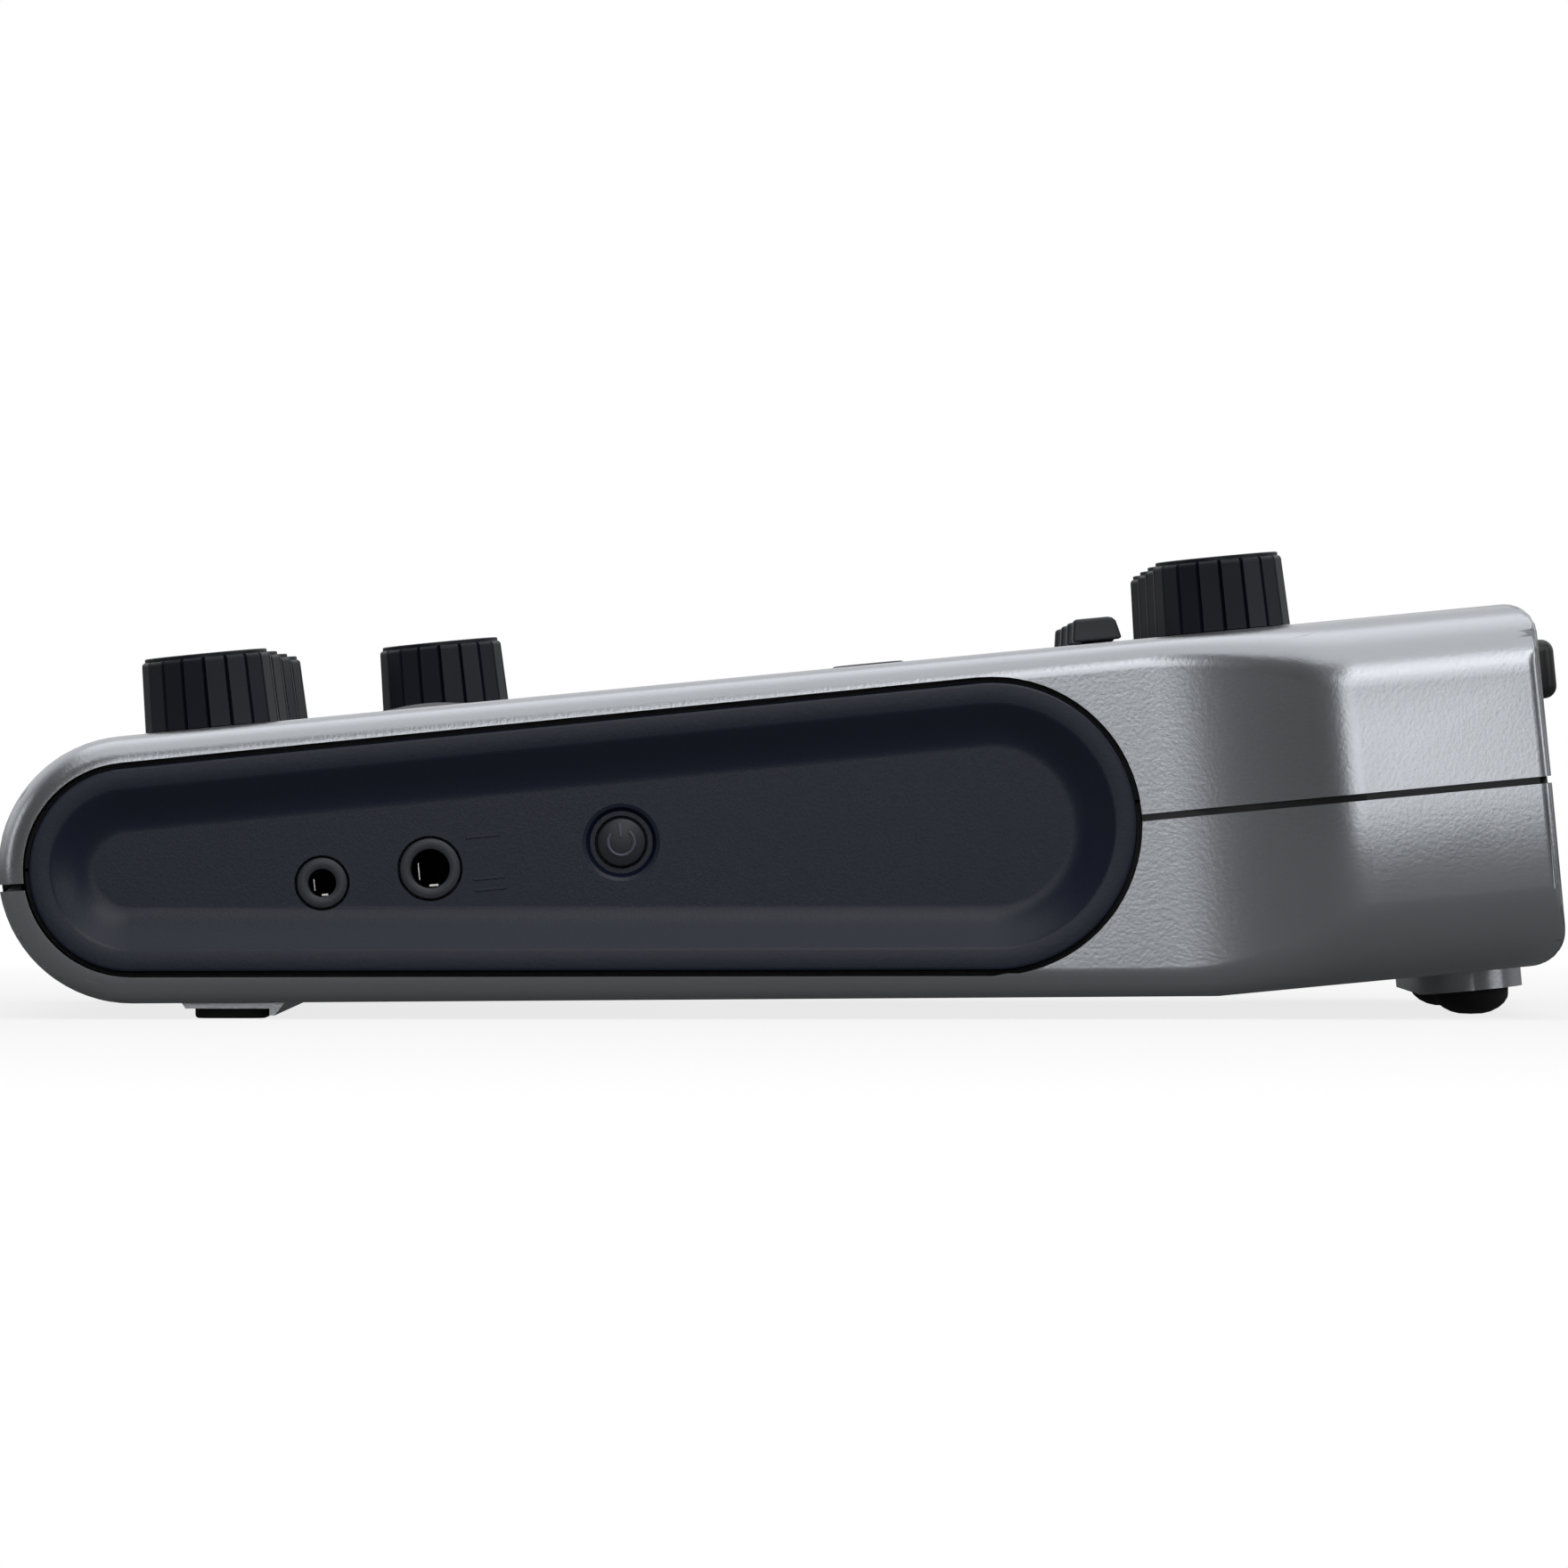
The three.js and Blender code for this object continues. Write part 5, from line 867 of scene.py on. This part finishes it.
def knob_form():
    """The fluted skirt, its cap and its shaft, standing on the deck at Z = 0."""
    bm = bmesh.new()
    bmesh.ops.create_circle(bm, cap_ends=True, segments=RIBS * RIB_STEPS, radius=1)
    pitch = math.tau / RIBS
    half_rib = math.pi / RIBS * (1 - 2 / RIB_STEPS)
    for vert in bm.verts:
        turn = math.remainder(math.atan2(vert.co.y, vert.co.x), pitch)
        if abs(turn) < half_rib * JUST_OVER:
            reach = math.cos(half_rib) / math.cos(turn) * KNOB_BASE
        else:
            reach = KNOB_BASE - GROOVE_DEPTH
        vert.co = (*(vert.co.xy * reach), KNOB_GAP)
    top = bm.faces[:][0]
    levels = [(KNOB_TOP / KNOB_BASE, KNOB_SKIRT_TOP - RIB_ROUND)]
    for step in range(1, RIB_ROUND_STEPS + 1):
        angle = math.radians(90) * step / RIB_ROUND_STEPS
        drawn_in = RIB_ROUND * (1 - math.cos(angle))
        levels.append(((KNOB_TOP - drawn_in) / KNOB_BASE,
                       KNOB_SKIRT_TOP - RIB_ROUND * (1 - math.sin(angle))))
    reached = 1.0
    for scale, height in levels:
        verts, top = drawn_out(bm, top)
        bmesh.ops.scale(bm, vec=(scale / reached, scale / reached, 1), verts=verts)
        for vert in verts:
            vert.co.z = height
        reached = scale
    bmesh.ops.recalc_face_normals(bm, faces=bm.faces)
    inward, down = KNOB_CAP_EDGE
    cap_base, shaft_top = KNOB_SKIRT_TOP - KNOB_CAP_SUNK, KNOB_GAP + SHAFT_TOP
    add_form(bm, turned([(0, KNOB_CAP_TOP), (KNOB_CAP - inward, KNOB_CAP_TOP),
                         (KNOB_CAP, KNOB_CAP_TOP - down), (KNOB_CAP, cap_base), (0, cap_base)], FINE_STEPS))
    add_form(bm, turned([(0, shaft_top), (SHAFT_RADIUS, shaft_top), (SHAFT_RADIUS, SHAFT_END),
                         (0, SHAFT_END)], COARSE_STEPS))
    pointer = slab(POINTER, (0, KNOB_CAP - POINTER[1] / 2 - POINTER_INSET, KNOB_CAP_TOP))
    paint(pointer, 1)
    add_form(bm, pointer)
    return bm


def at_joint(joint, turn=0):
    """Where a piece stands on the deck round a knob's joint, turned about it."""
    return (Matrix.Translation(joint["pos_m"]) @ Matrix.Rotation(DECK_SLOPE, 4, "X")
            @ Matrix.Rotation(turn, 4, "Z") @ Matrix.Scale(MM, 4))


for joint in frame["joints"]:
    name = joint["child"]
    if "_knob" in name:
        show(name + "_fluted", knob_form(), at_joint(joint, math.pi / RIBS), [knob_abs, white_ink], name,
             [name], KNOB_SHARP)


# Sound pads and keys. Silicone rubber domes and caps stand just proud of the deck in their round
# holes, each with a flange below it and a stem over its switch. The record key is red.
CHANNELS = 4
PAD_ROW = 30.205
PAD_PITCH = 19.0
PAD_PROFILE = [
    (0, 0.46), (1.0, 0.44), (2.1, 0.35), (3.1, 0.22), (4.6, 0.08), (6.5, 0.03), (6.9, -0.03), (7.0, -0.2),
    (7.0, -2.5), (7.6, -2.5), (7.6, -3.3), (3.0, -3.3), (3.0, -8.1), (0, -8.1)]
KEY_ROW = 50.194
DISPLAY_ROW = 74.696
KEY_RADIUS = 3.6
RECORD_RADIUS = 4.6
KEY_HEIGHT = 0.2
KEY_EDGE = [(-0.3, 0.2), (-0.15, 0.17), (-0.04, 0.08), (0, -0.08), (0, -2.5), (0.8, -2.5), (0.8, -3.3)]
KEY_STEM = [(1.5, -3.3), (1.5, -5.3), (0, -5.3)]
KEYS = {
    "stop_button": (-20.0, KEY_ROW, KEY_RADIUS),
    "play_button": (0.0, KEY_ROW, KEY_RADIUS),
    "record_button": (20.0, KEY_ROW, RECORD_RADIUS),
    "menu_key_1": (12.0, DISPLAY_ROW, KEY_RADIUS),
    "menu_key_2": (26.0, DISPLAY_ROW, KEY_RADIUS),
    "menu_key_3": (40.0, DISPLAY_ROW, KEY_RADIUS),
}
KEY_SIGNS = {"stop_button": (4, 1.5, 45), "play_button": (3, 1.5, -90), "record_button": (32, 1.6, 0)}
SIGN_HEIGHT = 0.05
SIGN_BASE = 0.16

# Moulded silicone rubber: matt, with a faint velvet sheen at the edges
grey_silicone = surface("moulded_grey_silicone", "#3a3d42", 0.0, 0.62, 0.4, 0.008, 0.03)
red_silicone = surface("moulded_red_silicone", "#a3262c", 0.0, 0.6, 0.4, 0.008, 0.03)


def key_sign(name):
    """The sign printed on a key: a square to stop, a triangle to play, a disc to record."""
    bm = bmesh.new()
    sides, radius, turn = KEY_SIGNS[name]
    bmesh.ops.create_circle(bm, segments=sides, radius=radius, cap_ends=True,
                            matrix=Matrix.Rotation(math.radians(turn), 4, "Z"))
    bmesh.ops.translate(bm, vec=(0, 0, SIGN_HEIGHT), verts=drawn_out(bm, bm.faces[:][0])[0])
    bmesh.ops.recalc_face_normals(bm, faces=bm.faces)
    paint(bm, 1)
    return bm


def on_deck(x, y, z=0.0):
    """Where a piece stands on the deck."""
    return deck_place @ Matrix.Translation((x, y, z))


def in_row(i, pitch):
    """How far across the deck a piece stands in a centred row of one piece for each channel."""
    return (i - (CHANNELS - 1) / 2) * pitch


for i in range(CHANNELS):
    name = f"sound_pad_{i + 1}"
    show(name + "_dome", turned(PAD_PROFILE), on_deck((i - 1) * PAD_PITCH, PAD_ROW), [grey_silicone],
         name, [name])

for name, (x, y, radius) in KEYS.items():
    bm = turned([(0, KEY_HEIGHT)] + [(radius + out, height) for out, height in KEY_EDGE] + KEY_STEM)
    if name in KEY_SIGNS:
        add_form(bm, key_sign(name), Matrix.Translation((0, 0, SIGN_BASE)))
    red = name == "record_button"
    rubber, slot = (red_silicone, "red_rubber") if red else (grey_silicone, "pad_rubber")
    show(name + "_cap", bm, on_deck(x, y), [rubber, white_ink], name, [name])


# Input sliders. Four short black ABS levers, rounded over at the back, run in slots in front of the
# gain knobs.
SLIDER_EDGE = 0.3
# Moulded ABS: near-black, with a satin sheen on the rounded tops
slider_abs = surface("moulded_slider_abs", "#24262c", 0.0, 0.42, 0.28, 0.006, 0.02)


def merged_copy(node):
    """A copy of a CAD node with its loose triangles joined, and its flat faces made whole."""
    bm = bmesh.new()
    bm.from_mesh(frame["nodes"][node].data)
    bmesh.ops.remove_doubles(bm, verts=bm.verts, dist=SAME_POINT)
    bmesh.ops.dissolve_limit(bm, angle_limit=FLAT_ANGLE, verts=bm.verts, edges=bm.edges)
    return bm


for i in range(CHANNELS):
    name = f"input_switch_{i + 1}"
    slider = show(name + "_lever", merged_copy(name), AS_BUILT, [slider_abs], name,
                  [name])
    soften(slider, SLIDER_EDGE, 3)


# Display. A clear acrylic lens, printed black round its window, lies in its seat in the deck over the
# display's glass.
LENS_EDGE = 0.2
# Acrylic printed black from behind, and dark glass: a deep gloss that mirrors the studio
lens_acrylic = surface("printed_black_acrylic", "#0a0c10", 0.0, 0.06, 0.5, 0.0005)
display_glass = surface("display_glass", "#1a2026", 0.0, 0.1, 0.5, 0.0005)
lens = show("display_lens_polished", merged_copy("display_lens"), AS_BUILT, [lens_acrylic], "case",
            ["display_lens"])
soften(lens, LENS_EDGE)


def coat(material, *nodes):
    """Gives a material to CAD nodes that are shown as they are."""
    for node in nodes:
        frame["nodes"][node].data.materials.clear()
        frame["nodes"][node].data.materials.append(material)


coat(display_glass, "display_module")


# Deck printing. Plain ticks stand round each gain and phones knob, and each channel has its number.
CHANNEL_PITCH = 25.9997
PRINT_RISE = 0.02
TICKS = 11
TICK_SWEEP = math.radians(300)
TICK = (0.28, 1.1)
TICK_RADIUS = 8.3
NUMERAL_SIZE = 3.6
NUMERAL_ROW = 122.5
# Pad-printed dark grey ink: matt lines on the silver
dark_ink = surface("dark_print_ink", "#2b2e34", 0.0, 0.5, 0.2, 0.003)


def ticks():
    """A dial's ticks, lying on the deck round a knob."""
    bm = bmesh.new()
    for i in range(TICKS):
        tick = slab((*TICK, 2 * PRINT_RISE), (0, TICK_RADIUS, 0))
        add_form(bm, tick, Matrix.Rotation(TICK_SWEEP * (i / (TICKS - 1) - 0.5), 4, "Z"))
    return bm


def numeral(text):
    """A plain number lying on the deck."""
    curve = bpy.data.curves.new("numeral", "FONT")
    curve.body = text
    curve.size = NUMERAL_SIZE
    curve.align_x = "CENTER"
    curve.align_y = "CENTER"
    curve.extrude = PRINT_RISE
    drawn = bpy.data.objects.new("numeral", curve)
    scene.collection.objects.link(drawn)
    bm = baked(drawn)
    bpy.data.curves.remove(curve)
    return bm


bm = bmesh.new()
for joint in frame["joints"]:
    if "_knob_" in joint["child"]:
        add_form(bm, ticks(), at_joint(joint))
for i in range(CHANNELS):
    add_form(bm, numeral(str(i + 1)), on_deck(in_row(i, CHANNEL_PITCH), NUMERAL_ROW))
show("deck_print", bm, AS_BUILT, [dark_ink], "case", [])


# Microphone sockets. Four black nylon three-pin sockets cross the rear face, each a ring round a deep
# annular gap and an insert with three plated contacts, with a release tab above it that springs back.
SOCKET_Z = -21.497
SOCKET_PROFILE = [
    (0, -0.8), (7.15, -0.8), (7.33, -0.87), (7.4, -1.05), (7.4, -12), (9.5, -12), (9.5, -0.2),
    (9.56, -0.06), (9.7, 0), (9.92, 0), (10.05, -0.05), (10.1, -0.18), (10.1, -20), (0, -20)]
CONTACT_HOLE = (1.3, 9.8)
CONTACT_SPOTS = ((4.0, 0.0), (0.0, 4.0), (-4.0, 0.0))
CONTACT_TUBE = [(0, -9.7), (1.25, -9.7), (1.25, -1.7), (1.1, -1.5), (0.95, -1.7), (0.95, -9), (0, -9)]
TAB_ROUND = 1.25
TAB_ROUND_STEPS = 6
to_rear = Matrix.Rotation(math.radians(-90), 4, "X")
to_nose = Matrix.Rotation(math.radians(90), 4, "X")

# Glass-filled nylon, satin black from the mould
socket_nylon = surface("black_socket_nylon", "#17181b", 0.0, 0.4, 0.28, 0.006, 0.02)

holes = [moved(drill(*CONTACT_HOLE, COARSE_STEPS), Matrix.Translation((x, y, 0)))
         for x, y in CONTACT_SPOTS]
socket_form = carve(turned(SOCKET_PROFILE, FINE_STEPS), holes)
for i in range(CHANNELS):
    place = on_deck(in_row(i, CHANNEL_PITCH), REAR_FACE, SOCKET_Z) @ to_rear
    name = f"xlr_socket_{i + 1}"
    show(name + "_ring", socket_form.copy(), place, [socket_nylon], "case", [name])
    contacts = bmesh.new()
    for x, y in CONTACT_SPOTS:
        add_form(contacts, turned(CONTACT_TUBE, COARSE_STEPS), Matrix.Translation((x, y, 0)))
    show(name + "_contacts", contacts, place, [nickel], "case", [])
    tab = f"xlr_latch_{i + 1}"
    corners = [to_deck @ vert.co for vert in frame["nodes"][tab].data.vertices]
    low, high = (Vector(pick(spot[axis] for spot in corners) for axis in range(3)) for pick in (min, max))
    bm = slab(high - low, (low + high) / 2)
    outer = [edge for edge in bm.edges if max(vert.co.y for vert in edge.verts) > REAR_FACE]
    bmesh.ops.bevel(bm, geom=outer, offset=TAB_ROUND, segments=TAB_ROUND_STEPS, profile=0.5,
                    affect="EDGES", material=-1)
    show(tab + "_tab", bm, deck_place, [socket_nylon], tab, [tab])
socket_form.free()


# Headphone sockets. Four 3.5 mm jacks look out of the rounded nose just above the parting groove,
# their collars a little behind its skin.
# Radius of the collar and of the bore, depth of the bore, and length of the collar
NOSE_JACK = (3.0, 1.925, 11.0, 4.5)
NOSE_JACK_SPOT = (-12.6, -14.1)
NOSE_JACK_ROOM = (2.45, 12.0)
NOSE_JACK_BLOCK = {"size": (8.0, 12.5, 6.3), "middle": (-3.5, -14.05)}
PHONES_PITCH = 25.0
for i in range(CHANNELS):
    x = in_row(i, PHONES_PITCH)
    bore = moved(drill(*NOSE_JACK_ROOM, COARSE_STEPS),
                 Matrix.Translation((0, *NOSE_JACK_SPOT)) @ to_nose)
    block = slab(NOSE_JACK_BLOCK["size"], (0, *NOSE_JACK_BLOCK["middle"]))
    fit_jack(f"phones_jack_{i + 1}", *NOSE_JACK, on_deck(x, *NOSE_JACK_SPOT) @ to_nose,
             carve(block, [bore]), on_deck(x, 0))


# Ports. A plated steel shell with a black tongue, and a card slot, look out of the left panel.
USB_TONGUE = (5.4, 6.7, 0.7)
USB_TONGUE_SET = 1.1
USB_TONGUE_EDGE = 0.1
PORT_EDGE = 0.06
# Drawn and plated steel: a thin bright rim with a soft mirror
port_steel = surface("drawn_port_steel", "#b9bbbd", 1.0, 0.3, 0.4, 0.003)
for name in ("usb_port", "card_slot"):
    port = show(name + "_shell", merged_copy(name), AS_BUILT, [port_steel], "case", [name])
    soften(port, PORT_EDGE)
low, high = (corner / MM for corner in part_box("usb_port"))
middle = deck_place @ Vector((0, USB_PORT["y"], USB_PORT["z"])) / MM
bm = slab(USB_TONGUE, (low.x + USB_TONGUE[0] / 2 + USB_TONGUE_SET, middle.y, middle.z))
tongue = show("usb_port_tongue", bm, Matrix.Scale(MM, 4), [socket_nylon], "case", [])
soften(tongue, USB_TONGUE_EDGE)


# Underside. A black ABS door on two hinge pins covers two cells, four cross-head screws hold the
# halves together, and the recorder stands on two flat and two round rubber feet.
DOOR_EDGE = 0.25
SCREW_SPOTS = ((44.0, 42.001), (44.0, 83.997))
SCREW_HEAD = [(0, 0), (1.75, 0), (2.15, 0.12), (2.3, 0.4), (2.3, 1.6), (1.0, 1.6)]
SCREW_SHANK = 1.0
SCREW_POINT = 0.8
SCREW_CROSS = (2.7, 0.7, 1.6)
SCREW_BITE = 5.0
SCREW_SUNK = 0.5
REAR_FOOT = [
    (0, 0), (1.2, 0.06), (2.0, 0.25), (2.8, 0.65), (3.4, 1.15), (3.74, 1.7), (3.8, 2.0), (3.8, 4), (0, 4)]
REAR_FOOT_STEPS = 48
FOOT_EDGE = 0.35

# Black ABS with a coarse spark-eroded texture: matt and even
door_abs = surface("moulded_door_abs", "#26282d", 0.0, 0.5, 0.35, 0.012, 0.03)
door = show("battery_door_plate", merged_copy("battery_door"), AS_BUILT, [door_abs], "battery_door",
            ["battery_door"])
soften(door, DOOR_EDGE)

# Zinc-plated steel screws, and black rubber that has gone slightly grey with handling
zinc_steel = surface("zinc_plated_steel", "#a9abad", 1.0, 0.34, 0.4, 0.003)
foot_rubber = surface("moulded_foot_rubber", "#1c1c1e", 0.0, 0.8, 0.45, 0.015, 0.05)
for name in ("front_foot_left", "front_foot_right"):
    pad = show(name + "_pad", merged_copy(name), AS_BUILT, [foot_rubber], "case", [name])
    soften(pad, FOOT_EDGE, 3)
for name in ("rear_foot_left", "rear_foot_right"):
    low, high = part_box(name)
    middle = Matrix.Translation(((low.x + high.x) / 2, (low.y + high.y) / 2, 0))
    show(name + "_dome", turned(REAR_FOOT, REAR_FOOT_STEPS), middle @ Matrix.Scale(MM, 4), [foot_rubber],
         "case", [name])

for i, (x, y) in enumerate(((sign * x, y) for x, y in SCREW_SPOTS for sign in (-1, 1))):
    bottom = -rear_depth + max(UNDERSIDE_BEND - y, 0) * math.tan(UNDERSIDE_ANGLE) + SCREW_SUNK
    tip = parting_at(y) + SCREW_BITE - bottom
    length, width, depth = SCREW_CROSS
    cross = [slab(size, (0, 0, 0)) for size in ((length, width, depth), (width, length, depth))]
    screw = SCREW_HEAD + [(SCREW_SHANK, tip - SCREW_POINT), (0, tip)]
    show(f"case_screw_{i + 1}_cross", carve(turned(screw, COARSE_STEPS), cross), on_deck(x, y, bottom),
         [zinc_steel], "case", [f"case_screw_{i + 1}"])

# Inside: green glass-fibre boards, and cells in a plain printed steel sleeve
board_laminate = surface("green_board_laminate", "#1f5a3c", 0.0, 0.4, 0.5, 0.01, 0.06)
cell_sleeve = surface("printed_cell_sleeve", "#8d8f94", 0.4, 0.3, 0.5, 0.002, 0.03)
coat(board_laminate, "control_board", "main_board")
coat(cell_sleeve, "battery_cell_1", "battery_cell_2")
